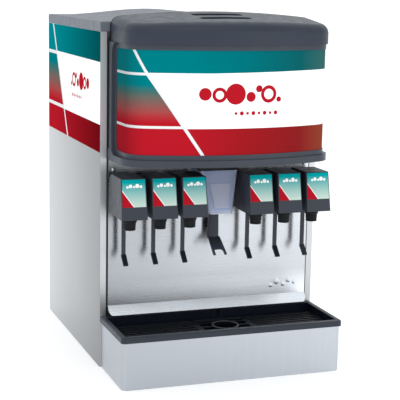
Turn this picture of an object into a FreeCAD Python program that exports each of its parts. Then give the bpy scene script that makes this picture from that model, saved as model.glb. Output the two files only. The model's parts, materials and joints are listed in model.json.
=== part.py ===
"""Countertop ice-and-beverage dispenser: a stainless cabinet with an ice bin, six pouring valves under
a bow-fronted sign, a central ice chute, a splash panel and a drip tray.

Millimetres, +Z up. Shapes are drawn with y = 0 on the cabinet's front face, -Y towards the user, and
z = 0 on the counter. save() moves them so that the origin is the bottom centre of the whole object.
"""
import FreeCAD, Part
import math
import os

Vector = FreeCAD.Vector
X_AXIS = Vector(1, 0, 0)
Y_AXIS = Vector(0, 1, 0)
Z_AXIS = Vector(0, 0, 1)

# ---- driving dimensions ----
WIDTH = 559.0            # 22 inch cabinet
CABINET_DEPTH = 555.0
TRAY_REACH = 194.0       # drip tray rim in front of the cabinet face
PANEL_TOP = 813.0        # top edge of the side panels
SHEET = 1.2              # stainless sheet
FLANGE = 15.5            # side panel's front and rear returns
WALL = 3.0               # moulded plastic walls
CLEAR = 0.3              # gap between pieces that part

HALF = WIDTH / 2
INSIDE_HALF = HALF - SHEET
SCREW_HEAD = 3.4         # rear screw heads stand behind the cabinet
FACE_Y = (TRAY_REACH - CABINET_DEPTH - SCREW_HEAD) / 2
OPENING_HALF = HALF - FLANGE - 0.5   # front opening between the two side panels' returns

# machine compartment, foam and ice bin, front to back
FOAM_FRONT = 85.0
BIN_FRONT = 105.0
BIN_BACK = 515.0
BIN_HALF = 235.0
BIN_WALL = 4.0
BIN_CORNER = 12.0
BIN_BOTTOM = 235.0
FOAM_BOTTOM = 200.0
FOAM_TOP = 796.0
BIN_TOP = 800.0

# top collar and lid
COLLAR_TOP = 812.5
LIP_TOP = 826.0          # upstand round the bin's mouth
LID_FRONT = 0.6
LID_RIM = 23.0
LID_CROWN = 17.0
LID_CROWN_HALF = 240.0   # flat borders lie outside this half-width
GASKET = 5.5

# sign and hood, drawn from one bow-fronted outline
SIGN_HALF = 253.0        # half-width where the front corners begin
SIGN_NOSE = 192.0
SIGN_CORNER = 62.0
SIGN_LEAN = math.radians(2.4)   # the sides draw in towards the front
BOW_RADIUS = 587.0
BAR_WIDEN = 4.0          # the frame's side bars stand outside the hood's line
RAIL_WIDEN = 6.0         # and its bottom rail further
SIGN_BOTTOM = 513.0
SIGN_TOP = 791.0
WINDOW_BOTTOM = 541.0
WINDOW_TOP = 779.0
WINDOW_START = 38.0      # the window begins this far in front of the cabinet face
FRAME_DEPTH = 12.0
RECESS_BORDER = 12.0     # stepped border round the window, up to the hood's lip
RECESS_DEPTH = 4.0
PANEL_INSET = 5.8
PANEL_THICK = 3.0
HOOD_TOP = 862.0         # highest line, at the hood's back edge
HOOD_SLOPE = math.radians(5.9)
CROWN_RADIUS = 2330.0
HOOD_ROUNDING = 24.0
REFLECTOR_Y = -64.8
HAND_SLOT = (127.0, 30.0)     # length and width of the two openings in the hood
HAND_SLOT_X = -12.0
HAND_SLOT_Y = (-54.0, -112.0)

# lamp behind the sign
LAMP_Y = -108.0
LAMP_Z = 660.0
LAMP_HALF = 210.0
LAMP_RADIUS = 13.0
LAMP_CAP_RADIUS = 5.0

# splash panel
SPLASH_HALF = 260.0
SPLASH_FRONT = -4.0
SPLASH_TOP = 511.0
SPLASH_BEND = 154.0
SPLASH_TOE = (-21.0, 132.5)
SPLASH_CORNER = 15.0

# screws
SCREW_RADIUS = 2.4
SPLASH_SCREWS = ((-247.0, 488.0), (247.0, 488.0))
REAR_SCREW_X = HALF - 9.0
REAR_SCREW_Z = (130.0, 350.0, 570.0, 790.0)
RAIL_X = 240.0
RAIL_Y = (85.0, 540.0)
RAIL_FLANGE = 30.0

# valves
VALVE_X = (-232.0, -158.0, -84.0, 84.0, 158.0, 232.0)
BLOCK_FRONT = -33.0
STUB_SPREAD = 12.0
STUB_RADIUS = 6.5
STUB_HOLE = 7.5
STUB_Z = 425.0
STUB_END = 12.0
COVER_BOTTOM = 388.5
COVER_TOP = 483.0
COVER_HALF_LOW = 31.2
COVER_HALF_HIGH = 29.8
COVER_NOSE_LOW = -135.5
COVER_NOSE_HIGH = -118.0
COVER_BACK = -16.0
COVER_WALL = 2.5
VALVE_FLOOR = 384.0
NOZZLE_Y = -92.0
NOZZLE_END = 358.0
LEVER_PIN_Y = -40.0
LEVER_PIN_Z = 393.0
LEVER_PIN_RADIUS = 2.0
PIN_CLEAR = 0.05
LEVER_TAIL_Z = 420.0
LEVER_KNEE_Z = 287.0
LEVER_TOE = (-64.0, 267.0)
LEVER_HALF = 4.8
LEVER_TOE_HALF = 6.0
LEVER_THICK = 5.0
SWITCH_FRONT = -60.5
SWITCH_BACK = -50.5
LABEL_LOW = 418.5
LABEL_HIGH = 481.0
LABEL_THICK = 0.8
LABEL_HALF_LOW = 28.2
LABEL_HALF_HIGH = 27.3

# ice path
THROAT_HALF = 50.0
THROAT_FRONT = -62.0
THROAT_BOTTOM = 486.0
THROAT_TOP = 575.0
CHUTE_TOP = 485.5
CHUTE_BOTTOM = 383.0
CHUTE_TOP_HALF = 48.5
CHUTE_TOP_Y = (-61.0, -9.0)
CHUTE_LOW_HALF = 28.5
CHUTE_LOW_Y = (-82.0, -52.0)
CHUTE_CORNER = 8.0
CHUTE_WALL = 2.5
CHUTE_MOUTH_BACK = -12.0
GATE_Y = 50.0
GATE_TRAVEL = 45.0
ICE_PIN_Y = -20.0
ICE_PIN_Z = 399.0
ICE_PIN_RADIUS = 2.5
ICE_EAR_INSIDE = 17.0    # from the middle to each ear of the bracket
ICE_BAR_CURVE = 17.0     # the bar is an arc in section, of this outer radius
ICE_BAR_THICK = 3.0
ICE_BAR_HALF = (12.0, 15.0)      # at the pin and at the knee
ICE_KNEE_Z = 314.0
FORK_LENGTH = 59.0
FORK_THICK = 3.5
FORK_TIP_HALF = 17.3
FORK_SLOT_HALF = 11.2
FORK_SLOT_DEPTH = 18.0
FORK_SLOT_CORNER = 7.0
FORK_TURN = 35.0         # degrees from level
WHEEL_Z = 430.0
WHEEL_RADIUS = 138.0
SHAFT_RADIUS = 8.0
BEARING_RADIUS = 14.0
GEARBOX_HALF = 44.0
GEARBOX_Y = (24.0, 78.0)
GEARBOX_Z = (390.0, 470.0)
MOTOR_RADIUS = 26.0
MOTOR_LOW = 300.0

# cold plate, standing on the rim of an opening in the bin's floor
PLATE_HALF = 205.0
PLATE_Y = (130.0, 485.0)
PLATE_THICK = 45.0
PLATE_REST = 6.0

# beverage lines
LINE_RADIUS = 4.75
LINE_BEND = 15.0
LINE_GATHER = 0.76       # the valve lines close in to fit the cold plate
LINE_BACK_Y = 145.0
SUPPLY_Y = 440.0
RISER_Y = 118.0
RISER_RADIUS = 7.0

# drip tray
TRAY_HALF = 278.0
TRAY_TOP = 127.5
RIM_HEIGHT = 14.0
RIM_WIDTH = 12.0
HOUSING_HALF = 275.0
HOUSING_FRONT = -190.0
TRAY_FLOOR = 80.0
GRID_TOP = 110.0
GRID_THICK = 6.0
GRID_FRONT = -177.0
GRID_BACK = -31.0
GRID_BORDER = 6.0
GRID_RIB = 6.0
GRID_GAP = 8.4
GRID_TIE = 2.5           # height of the low cross bars under the ribs
POST_INSET = 8.0         # the tray's posts stand this far inside each rest's corners
CENTRE_X = 10.0          # the middle rest sits a little right of centre
CENTRE_HALF = 66.0
CENTRE_BARS_Y = (-157.0, -131.0, -98.0, -65.0, -43.0)
RING_Y = -98.0
RING_RADIUS = 34.0
RING_HOLE = 28.0
DRAIN_Y = -100.0
DRAIN_Z = 40.0
DRAIN_RADIUS = 13.35     # 3/4 inch pipe
DRAIN_COLLAR = 17.0      # shoulder that a coupling seats against
DRAIN_STUB = 24.0

# base and connections
LEG_HOLE_RADIUS = 4.8    # clears 3/8 inch leg studs
LEG_X = 225.0
LEG_Y = (45.0, 510.0)
REAR_OPENING_TOP = 100.0
INLET_PLATE_Y = 495.0
INLET_RADIUS = 4.75      # 3/8 inch hose stubs
INLET_Z = 50.0
INLET_X = (-175.0, -130.0, -85.0, -40.0, 40.0, 85.0, 130.0, 175.0)
CONNECTION_END = 522.0


# ---- small tools ----
def block(x, y, z):
    """A box from (low, high) pairs along each axis."""
    return Part.makeBox(x[1] - x[0], y[1] - y[0], z[1] - z[0], Vector(x[0], y[0], z[0]))


def rod_x(radius, x, y, z):
    return Part.makeCylinder(radius, x[1] - x[0], Vector(x[0], y, z), X_AXIS)


def rod_y(radius, x, y, z):
    return Part.makeCylinder(radius, y[1] - y[0], Vector(x, y[0], z), Y_AXIS)


def rod_z(radius, x, y, z):
    return Part.makeCylinder(radius, z[1] - z[0], Vector(x, y, z[0]), Z_AXIS)


def joined(shapes):
    """One solid from several that overlap or touch."""
    return shapes[0].fuse(shapes[1:]).removeSplitter()


def cut_all(shape, tools):
    return shape.cut(Part.makeCompound(tools))


def mirrored(shape):
    """The same shape on the other side of the middle plane."""
    return shape.mirror(Vector(0, 0, 0), X_AXIS)


def side_profile(points, x):
    """Extrudes a closed (y, z) polygon across x = (low, high)."""
    wire = Part.makePolygon([Vector(x[0], y, z) for y, z in points + points[:1]])
    return Part.Face(wire).extrude(Vector(x[1] - x[0], 0, 0))


def front_profile(points, y):
    """Extrudes a closed (x, z) polygon through y = (low, high)."""
    wire = Part.makePolygon([Vector(x, y[0], z) for x, z in points + points[:1]])
    return Part.Face(wire).extrude(Vector(0, y[1] - y[0], 0))


def edges_where(shape, test):
    """Edges whose middle point passes the test."""
    return [e for e in shape.Edges if test(e.valueAt((e.FirstParameter + e.LastParameter) / 2), e)]


def vertical(edge):
    box = edge.BoundBox
    return box.XLength < 0.01 and box.YLength < 0.01


def rounded_rectangle(x, y, radius, z):
    """A wire at height z with four equal corner arcs."""
    flat = block(x, y, (z, z + 1))
    flat = flat.makeFillet(radius, edges_where(flat, lambda p, e: vertical(e)))
    bottom = [f for f in flat.Faces if abs(f.CenterOfMass.z - z) < 1e-6][0]
    return bottom.OuterWire


def ring_prism(outer, inner, z):
    """A frame between two (x, y) rectangles through z = (low, high)."""
    return block(*outer, z).cut(block(*inner, (z[0] - 1, z[1] + 1)))


def save(name, shape):
    """Writes one sub-part, moved to the object's origin."""
    placed = shape.copy()
    placed.translate(Vector(0, FACE_Y, 0))
    solids = placed.Solids
    assert solids and all(s.isValid() and s.Volume > 0 for s in solids), name
    placed = solids[0] if len(solids) == 1 else Part.makeCompound(solids)
    placed.exportStep("parts/%s.step" % name)
    print("%-20s %2d solid(s) %10.0f mm3" % (name, len(solids), sum(s.Volume for s in solids)))


# ---- bow-fronted outline shared by hood, sign frame and sign panel ----
def bow_prism(inset, z, back=0.0, widen=0.0):
    """The sign's plan outline, moved in by inset, extruded through z = (low, high)."""
    corner = SIGN_CORNER - inset
    corner_x = SIGN_HALF + widen - SIGN_CORNER
    bow_y = BOW_RADIUS - SIGN_NOSE
    corner_y = bow_y - math.sqrt((BOW_RADIUS - SIGN_CORNER) ** 2 - corner_x ** 2)
    end_angle = math.atan2(corner_y - bow_y, corner_x)

    def point(x, y, side=1):
        return Vector(side * x, y, z[0])

    def on_corner(share, side):
        turn = (end_angle + SIGN_LEAN) * share - SIGN_LEAN
        return point(corner_x + corner * math.cos(turn), corner_y + corner * math.sin(turn), side)

    def side_line(side):
        front = on_corner(0, side)
        half = front.x * side + (back - front.y) * math.tan(SIGN_LEAN)
        return front, point(half, back, side)

    front_right, back_right = side_line(1)
    front_left, back_left = side_line(-1)
    nose = point(0, inset - SIGN_NOSE)
    edges = [
        Part.LineSegment(back_right, front_right),
        Part.Arc(front_right, on_corner(0.5, 1), on_corner(1, 1)),
        Part.Arc(on_corner(1, 1), nose, on_corner(1, -1)),
        Part.Arc(on_corner(1, -1), on_corner(0.5, -1), front_left),
        Part.LineSegment(front_left, back_left),
        Part.LineSegment(back_left, back_right),
    ]
    return Part.Face(Part.Wire([e.toShape() for e in edges])).extrude(Vector(0, 0, z[1] - z[0]))


def bow_ring(outer_inset, inner_inset, z, back=0.0, widen=0.0):
    """A wall that follows the bow and is open at the back."""
    hollow = bow_prism(inner_inset, (z[0] - 1, z[1] + 1), 10.0)
    return bow_prism(outer_inset, z, back, widen).cut(hollow)


def window_box(grow, radius):
    """The sign's opening, grown all round, with rounded ends where it starts beside the cabinet."""
    box = block((-400, 400), (-400, grow - WINDOW_START), (WINDOW_BOTTOM - grow, WINDOW_TOP + grow))
    ends = edges_where(box, lambda p, e: abs(p.y + WINDOW_START - grow) < 0.01 and e.BoundBox.XLength > 100)
    return box.makeFillet(radius, ends)


def sign_frame():
    """Moulded frame: bottom rail with a floor, two side bars and a top rail, grooved for the panel."""
    rail = bow_ring(0, FRAME_DEPTH, (SIGN_BOTTOM, WINDOW_BOTTOM), 0, RAIL_WIDEN)
    bars = bow_ring(0, FRAME_DEPTH, (WINDOW_BOTTOM, SIGN_TOP), 0, BAR_WIDEN)
    frame = joined([rail, bars])
    recess = bow_prism(-20, (SIGN_BOTTOM, SIGN_TOP + 1), 1).cut(bow_prism(RECESS_DEPTH, (0, 900), 10.0))
    frame = frame.cut(recess.common(window_box(RECESS_BORDER, 28))).cut(window_box(0, 18))
    groove = bow_ring(
        PANEL_INSET - 0.2, PANEL_INSET + PANEL_THICK + 0.2, (WINDOW_BOTTOM - 8, WINDOW_TOP + 8), -6
    )
    floor = bow_prism(1, (SIGN_BOTTOM, SIGN_BOTTOM + WALL))
    floor = floor.common(block((-300, 300), (-300, REFLECTOR_Y - SHEET), (0, 900)))
    return joined([frame.cut(groove), floor])


def sign_panel():
    """Bent translucent sheet that carries the graphic."""
    return bow_ring(PANEL_INSET, PANEL_INSET + PANEL_THICK, (WINDOW_BOTTOM - 7, WINDOW_TOP + 7), -7)


def crowned_bow(inset, back, base):
    """The hood's outer or inner volume: the bow outline under a crowned top that rises to the back."""
    top = HOOD_TOP - inset
    start = -300.0
    centre_z = top + start * math.tan(HOOD_SLOPE) - CROWN_RADIUS / math.cos(HOOD_SLOPE)
    along = Vector(0, math.cos(HOOD_SLOPE), math.sin(HOOD_SLOPE))
    crown = Part.makeCylinder(CROWN_RADIUS, 1000, Vector(0, start, centre_z), along)
    body = bow_prism(inset, (base, HOOD_TOP + 20), back).common(crown)
    top_edges = edges_where(body, lambda p, e: p.z > SIGN_TOP + 30 and not vertical(e) and p.y < back - 1)
    return body.makeFillet(HOOD_ROUNDING - inset, top_edges)


def hood():
    """Domed plastic top of the sign, with two hand slots and a flange that sits on the frame."""
    shell = crowned_bow(0, 0, SIGN_TOP).cut(crowned_bow(WALL, -WALL, SIGN_TOP - 5))
    flange = bow_ring(WALL - 0.5, FRAME_DEPTH + 2, (SIGN_TOP, SIGN_TOP + WALL), -1)
    shell = joined([shell, flange])
    half_length, half_width = HAND_SLOT[0] / 2, HAND_SLOT[1] / 2
    slots = []
    for y in HAND_SLOT_Y:
        across = (HAND_SLOT_X - half_length, HAND_SLOT_X + half_length)
        wire = rounded_rectangle(across, (y - half_width, y + half_width), half_width - 0.1, SIGN_TOP + 24)
        slots.append(Part.Face(wire).extrude(Vector(0, 0, 80)))
    return cut_all(shell, slots)


def sign_reflector():
    """White painted sheet behind the lamp."""
    return block((-238, 238), (REFLECTOR_Y - SHEET, REFLECTOR_Y), (SIGN_BOTTOM, SIGN_TOP - 1))


def lamp_tube():
    """Tube with a pin cap at each end."""
    glass = rod_x(LAMP_RADIUS, (-LAMP_HALF, LAMP_HALF), LAMP_Y, LAMP_Z)
    ends = (-LAMP_HALF, LAMP_HALF)
    caps = [rod_x(LAMP_CAP_RADIUS, (end - 4, end + 4), LAMP_Y, LAMP_Z) for end in ends]
    return joined([glass] + caps)


def lamp_holders():
    """Two sockets on the reflector, one at each end of the tube."""
    reach = LAMP_RADIUS + 3
    y = (LAMP_Y - reach, REFLECTOR_Y - SHEET)
    holder = block((LAMP_HALF + 0.5, LAMP_HALF + 12), y, (LAMP_Z - reach, LAMP_Z + reach))
    holder = holder.cut(rod_x(LAMP_CAP_RADIUS + 0.2, (LAMP_HALF, LAMP_HALF + 5), LAMP_Y, LAMP_Z))
    return Part.makeCompound([holder, mirrored(holder)])


# ---- cabinet ----
def side_panel():
    """Right-hand stainless side with front and rear returns and a softly rounded front fold."""
    skin = block((INSIDE_HALF, HALF), (0, CABINET_DEPTH), (0, PANEL_TOP))
    front = block((HALF - FLANGE, HALF), (0, SHEET), (0, PANEL_TOP))
    rear_y = CABINET_DEPTH - SHEET
    rear = block((HALF - FLANGE, HALF), (rear_y - SHEET, rear_y), (0, PANEL_TOP))
    panel = joined([skin, front, rear])
    fold = edges_where(panel, lambda p, e: vertical(e) and abs(p.y) < 0.01 and p.x > HALF - 0.01)
    return panel.makeFillet(SHEET * 0.9, fold)


def rear_panel():
    """Back sheet, open below for the lines, with vent louvres."""
    y = (CABINET_DEPTH - SHEET, CABINET_DEPTH)
    panel = block((-INSIDE_HALF, INSIDE_HALF), y, (REAR_OPENING_TOP, PANEL_TOP))
    vents = []
    for row in range(6):
        z = 150.0 + 14.0 * row
        vents.append(block((-60, 60), (y[0] - 1, y[1] + 1), (z, z + 4)))
    return cut_all(panel, vents + [rod_y(STUB_HOLE + 0.5, 200, (y[0] - 1, y[1] + 1), 130)])


def base_pan():
    """Floor plate with four welded nuts for optional legs."""
    plate = block((-INSIDE_HALF, INSIDE_HALF), (1.6, CABINET_DEPTH - 2 * SHEET - 0.1), (0, 1.5))
    nuts = []
    holes = []
    for x in (-LEG_X, LEG_X):
        for y in LEG_Y:
            nuts.append(rod_z(11, x, y, (1, 14)))
            holes.append(rod_z(LEG_HOLE_RADIUS, x, y, (-1, 20)))
    return cut_all(joined([plate] + nuts), holes)


def tank_supports():
    """Two folded channels that carry the bin above the base."""
    thick, low = 2.0, 1.5
    web = block((RAIL_X, RAIL_X + thick), RAIL_Y, (low, FOAM_BOTTOM))
    flange_x = (RAIL_X + thick, RAIL_X + RAIL_FLANGE)
    flanges = [block(flange_x, RAIL_Y, (z, z + thick)) for z in (low, FOAM_BOTTOM - thick)]
    rail = joined([web] + flanges)
    return Part.makeCompound([rail, mirrored(rail)])


def front_frame():
    """Black painted plate behind splash panel and sign, cut out for the ice throat and the lines."""
    plate = block((-OPENING_HALF, OPENING_HALF), (0, 1.5), (1.5, BIN_TOP))
    cuts = [block((-THROAT_HALF - 1, THROAT_HALF + 1), (-1, 3), (THROAT_BOTTOM - 1, THROAT_TOP + 1))]
    cuts += [rod_y(STUB_HOLE, x + side * STUB_SPREAD, (-1, 3), STUB_Z) for x in VALVE_X for side in (-1, 1)]
    cuts.append(rod_y(DRAIN_RADIUS + 1.5, 0, (-1, 3), DRAIN_Z))
    return cut_all(plate, cuts)


def bent_tube(corners, radius):
    """A solid line through the corner points, each rounded by an arc tangent to both runs."""
    edges = []
    here = corners[0]
    for before, corner, after in zip(corners, corners[1:], corners[2:]):
        back = (before - corner).normalize()
        ahead = (after - corner).normalize()
        half_turn = math.pi / 2 - back.getAngle(ahead) / 2
        reach = LINE_BEND * math.tan(half_turn)
        inwards = (back + ahead).normalize()
        start = corner + back * reach
        end = corner + ahead * reach
        middle = corner + inwards * (LINE_BEND / math.cos(half_turn) - LINE_BEND)
        edges.append(Part.LineSegment(here, start).toShape())
        edges.append(Part.Arc(start, middle, end).toShape())
        here = end
    edges.append(Part.LineSegment(here, corners[-1]).toShape())
    direction = corners[1] - corners[0]
    section = Part.Wire(Part.Circle(corners[0], direction, radius).toShape())
    return Part.Wire(edges).makePipeShell([section], True, False)


def stub_positions():
    return [x + side * STUB_SPREAD for x in VALVE_X for side in (-1, 1)]


def valve_line(x):
    """From one stub of a mounting block, down in front of the foam and back up to the cold plate."""
    down_y, low_z, end_z = 42.0, FOAM_BOTTOM - 20, BIN_BOTTOM + BIN_WALL
    plate_x = x * LINE_GATHER
    corners = [(x, STUB_END, STUB_Z), (x, down_y, STUB_Z), (x, down_y, low_z),
               (plate_x, LINE_BACK_Y, low_z), (plate_x, LINE_BACK_Y, end_z)]
    return bent_tube([Vector(*c) for c in corners], LINE_RADIUS)


def supply_line(x):
    """From one inlet fitting forward under the foam and up to the cold plate."""
    end_z = BIN_BOTTOM + BIN_WALL
    corners = [(x, INLET_PLATE_Y - 18, INLET_Z), (x, SUPPLY_Y, INLET_Z), (x, SUPPLY_Y, end_z)]
    return bent_tube([Vector(*c) for c in corners], LINE_RADIUS)


def product_lines():
    lines = [valve_line(x) for x in stub_positions()] + [supply_line(x) for x in INLET_X]
    return Part.makeCompound(lines)


def line_holes(z):
    """Clearance holes where the lines and the bin's drain riser pass through z = (low, high)."""
    holes = [rod_z(LINE_RADIUS + 0.8, x * LINE_GATHER, LINE_BACK_Y, z) for x in stub_positions()]
    holes += [rod_z(LINE_RADIUS + 0.8, x, SUPPLY_Y, z) for x in INLET_X]
    holes.append(rod_z(RISER_RADIUS + 0.3, 0, RISER_Y, z))
    return holes


def foam_insulation():
    """Foam body round the ice bin."""
    y = (FOAM_FRONT, CABINET_DEPTH - 2 * SHEET - 1)
    body = block((1 - INSIDE_HALF, INSIDE_HALF - 1), y, (FOAM_BOTTOM, FOAM_TOP))
    cavity = block((-BIN_HALF, BIN_HALF), (BIN_FRONT, BIN_BACK), (BIN_BOTTOM, FOAM_TOP + 1))
    passage_x = (-THROAT_HALF - 0.5, THROAT_HALF + 0.5)
    passage_z = (THROAT_BOTTOM - 0.5, THROAT_TOP + 0.5)
    passage = block(passage_x, (FOAM_FRONT - 1, BIN_FRONT + 1), passage_z)
    bearing = rod_y(BEARING_RADIUS + 0.2, 0, (FOAM_FRONT - 1, BIN_FRONT + 1), WHEEL_Z)
    return cut_all(body, [cavity, passage, bearing] + line_holes((FOAM_BOTTOM - 1, BIN_BOTTOM + 1)))


def ice_bin():
    """Moulded liner with a top flange, an ice outlet and a bearing hole in front, and an open floor."""
    outer = block((-BIN_HALF, BIN_HALF), (BIN_FRONT, BIN_BACK), (BIN_BOTTOM, BIN_TOP))
    flange = block((-BIN_HALF - 25, BIN_HALF + 25), (FOAM_FRONT + 1, BIN_BACK + 30), (FOAM_TOP, BIN_TOP))
    inside_x = (BIN_WALL - BIN_HALF, BIN_HALF - BIN_WALL)
    inside_y = (BIN_FRONT + BIN_WALL, BIN_BACK - BIN_WALL)
    inside = block(inside_x, inside_y, (BIN_BOTTOM + BIN_WALL, BIN_TOP + 1))
    corners = edges_where(inside, lambda p, e: vertical(e))
    inside = inside.makeFillet(BIN_CORNER, corners)
    outlet = block((4 - THROAT_HALF, THROAT_HALF - 4), (BIN_FRONT - 1, BIN_FRONT + BIN_WALL + 1),
                   (THROAT_BOTTOM + 4, THROAT_TOP - 4))
    bearing = rod_y(BEARING_RADIUS, 0, (BIN_FRONT - 1, BIN_FRONT + BIN_WALL + 1), WHEEL_Z)
    shell = joined([outer, flange]).cut(inside)
    floor_z = (BIN_BOTTOM - 1, BIN_BOTTOM + BIN_WALL + 1)
    floor_half = PLATE_HALF - PLATE_REST
    floor_y = (PLATE_Y[0] + PLATE_REST, PLATE_Y[1] - PLATE_REST)
    plate_opening = block((-floor_half, floor_half), floor_y, floor_z)
    riser = rod_z(RISER_RADIUS + CLEAR, 0, RISER_Y, floor_z)
    return cut_all(shell, [outlet, bearing, plate_opening, riser])


def cold_plate():
    """Cast aluminium plate in the bin's floor, with shallow melt-water grooves."""
    low = BIN_BOTTOM + BIN_WALL + 0.1
    high = low + PLATE_THICK
    plate = block((-PLATE_HALF, PLATE_HALF), PLATE_Y, (low, high))
    depth, width, pitch = 3.0, 6.0, 30
    groove_x = (15 - PLATE_HALF, PLATE_HALF - 15)
    starts = range(int(PLATE_Y[0]) + 20, int(PLATE_Y[1]) - 10, pitch)
    grooves = [block(groove_x, (y, y + width), (high - depth, high + 1)) for y in starts]
    return cut_all(plate, grooves)


def top_collar():
    """Plastic deck under the lid with an upstand round the bin's mouth."""
    y = (1.6, CABINET_DEPTH - 2 * SHEET - 0.2)
    mouth_half = BIN_HALF - BIN_WALL
    mouth = ((-mouth_half, mouth_half), (BIN_FRONT + BIN_WALL, BIN_BACK - BIN_WALL))
    deck = ring_prism(((-INSIDE_HALF, INSIDE_HALF), y), mouth, (BIN_TOP, COLLAR_TOP))
    lip_outer = ((mouth[0][0] - 4, mouth[0][1] + 4), (mouth[1][0] - 4, mouth[1][1] + 4))
    return joined([deck, ring_prism(lip_outer, mouth, (BIN_TOP, LIP_TOP))])


def crowned_slab(inset, bottom):
    """The lid's outer or inner volume: flat borders at the sides and a smooth swell between them."""
    half = HALF - inset
    edge = PANEL_TOP + CLEAR + LID_RIM - inset
    y = (LID_FRONT + inset, CABINET_DEPTH - inset)
    corner = [Vector(x, y[0], z) for x, z in ((-half, edge), (-half, bottom), (half, bottom), (half, edge))]
    count = 12
    swell = []
    for i in range(count + 1):
        x = LID_CROWN_HALF * (1 - 2 * i / count)
        rise = LID_CROWN * (1 + math.cos(math.pi * x / LID_CROWN_HALF)) / 2
        swell.append(Vector(x, y[0], edge + rise))
    curve = Part.BSplineCurve()
    curve.interpolate(Points=swell, InitialTangent=Vector(-1, 0, 0), FinalTangent=Vector(-1, 0, 0))
    border = [Part.LineSegment(corner[3], swell[0]).toShape(), curve.toShape(),
              Part.LineSegment(swell[-1], corner[0]).toShape()]
    lines = [Part.LineSegment(a, b).toShape() for a, b in zip(corner, corner[1:])]
    return Part.Face(Part.Wire(lines + border)).extrude(Vector(0, y[1] - y[0], 0))


def bin_lid():
    """Lift-off lid: a crowned shell with a deep rim and a rib that holds the gasket."""
    bottom = PANEL_TOP + CLEAR
    outer = crowned_slab(0, bottom)
    soft = edges_where(outer, lambda p, e: p.z > bottom + LID_RIM - 1)
    outer = outer.makeFillet(3, soft)
    shell = outer.cut(crowned_slab(WALL, bottom - 1))
    low = LIP_TOP + CLEAR + GASKET
    rib_outer = ((-BIN_HALF - 3, BIN_HALF + 3), (BIN_FRONT - 3, BIN_BACK + 3))
    rib_inner = ((8 - BIN_HALF, BIN_HALF - 8), (BIN_FRONT + 8, BIN_BACK - 8))
    rib = ring_prism(rib_outer, rib_inner, (low, low + 40)).common(crowned_slab(1, bottom))
    return joined([shell, rib])


def lid_gasket():
    """Closed-cell seal that lands on the collar's upstand."""
    low = LIP_TOP + CLEAR
    outer = ((-BIN_HALF - 2, BIN_HALF + 2), (BIN_FRONT - 2, BIN_BACK + 2))
    inner = ((7 - BIN_HALF, BIN_HALF - 7), (BIN_FRONT + 7, BIN_BACK - 7))
    return ring_prism(outer, inner, (low, low + GASKET))


def splash_panel():
    """Front stainless panel with returned sides and a forward toe over the drip tray."""
    toe_y, toe_z = SPLASH_TOE
    front = SPLASH_FRONT
    back = front + SHEET
    face = [(front, SPLASH_TOP), (front, SPLASH_BEND), (toe_y, toe_z),
            (toe_y + SHEET, toe_z - SHEET * 0.3), (back, SPLASH_BEND - SHEET * 0.6), (back, SPLASH_TOP)]
    sheet = side_profile(face, (-SPLASH_HALF, SPLASH_HALF))
    outline = block((-SPLASH_HALF, SPLASH_HALF), (-60, 10), (toe_z - 2, SPLASH_TOP + 10))
    low_corners = edges_where(outline, lambda p, e: p.z < toe_z and e.BoundBox.YLength > 60)
    sheet = sheet.common(outline.makeFillet(SPLASH_CORNER, low_corners))
    low = SPLASH_BEND + 1
    left = (-SPLASH_HALF, SHEET - SPLASH_HALF)
    right = (SPLASH_HALF - SHEET, SPLASH_HALF)
    sides = [block(x, (front, 0), (low, SPLASH_TOP)) for x in (left, right)]
    panel = joined([sheet] + sides)
    notch = block((-THROAT_HALF - 1.5, THROAT_HALF + 1.5), (-10, 1), (THROAT_BOTTOM - 1.5, SPLASH_TOP + 1))
    holes = [rod_y(STUB_HOLE, x, (-10, 1), STUB_Z) for x in stub_positions()]
    holes += [rod_y(SCREW_RADIUS + 0.4, x, (-10, 1), z) for x, z in SPLASH_SCREWS]
    return cut_all(panel, [notch] + holes)


def pan_screw(at, outwards):
    """Pan-head screw: domed head outside, shank inwards."""
    head = Part.makeSphere(6.0, at - outwards * 2.6)
    keep = Part.makeCylinder(8, 8, at, outwards)
    head = head.common(keep)
    shank = Part.makeCylinder(SCREW_RADIUS, 8, at - outwards * 8, outwards)
    cross = [Part.makeBox(5, 5, 1, Vector(-2.5, -2.5, -0.5)),
             Part.makeBox(1, 5, 5, Vector(-0.5, -2.5, -2.5))]
    slots = []
    for bar in cross:
        bar.translate(at + outwards * 4.4)
        slots.append(bar)
    return cut_all(joined([head, shank]), slots)


def panel_screws():
    """Splash panel screws in front and rear panel screws behind."""
    screws = [pan_screw(Vector(x, SPLASH_FRONT, z), Y_AXIS * -1) for x, z in SPLASH_SCREWS]
    for side in (-1, 1):
        for z in REAR_SCREW_Z:
            screws.append(pan_screw(Vector(side * REAR_SCREW_X, CABINET_DEPTH, z), Y_AXIS))
    return Part.makeCompound(screws)


# ---- drip tray ----
def fronted_prism(half, front, radius, z, back=0.0):
    """A rectangle with its two front corners rounded, extruded through z."""
    body = block((-half, half), (front, back), z)
    corners = edges_where(body, lambda p, e: vertical(e) and p.y < front + 0.01)
    return body.makeFillet(radius, corners)


def tray_housing():
    """Stainless wrapper under the drip tray, with a turned-in foot."""
    top = TRAY_TOP - RIM_HEIGHT
    shell = fronted_prism(HOUSING_HALF, HOUSING_FRONT, 12, (0, top), -0.2)
    inside = fronted_prism(HOUSING_HALF - SHEET, HOUSING_FRONT + SHEET, 12 - SHEET, (SHEET, top + 1), 5)
    foot = fronted_prism(HOUSING_HALF - 16, HOUSING_FRONT + 16, 4, (-1, SHEET + 1), 5)
    return shell.cut(inside).cut(foot)


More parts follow.
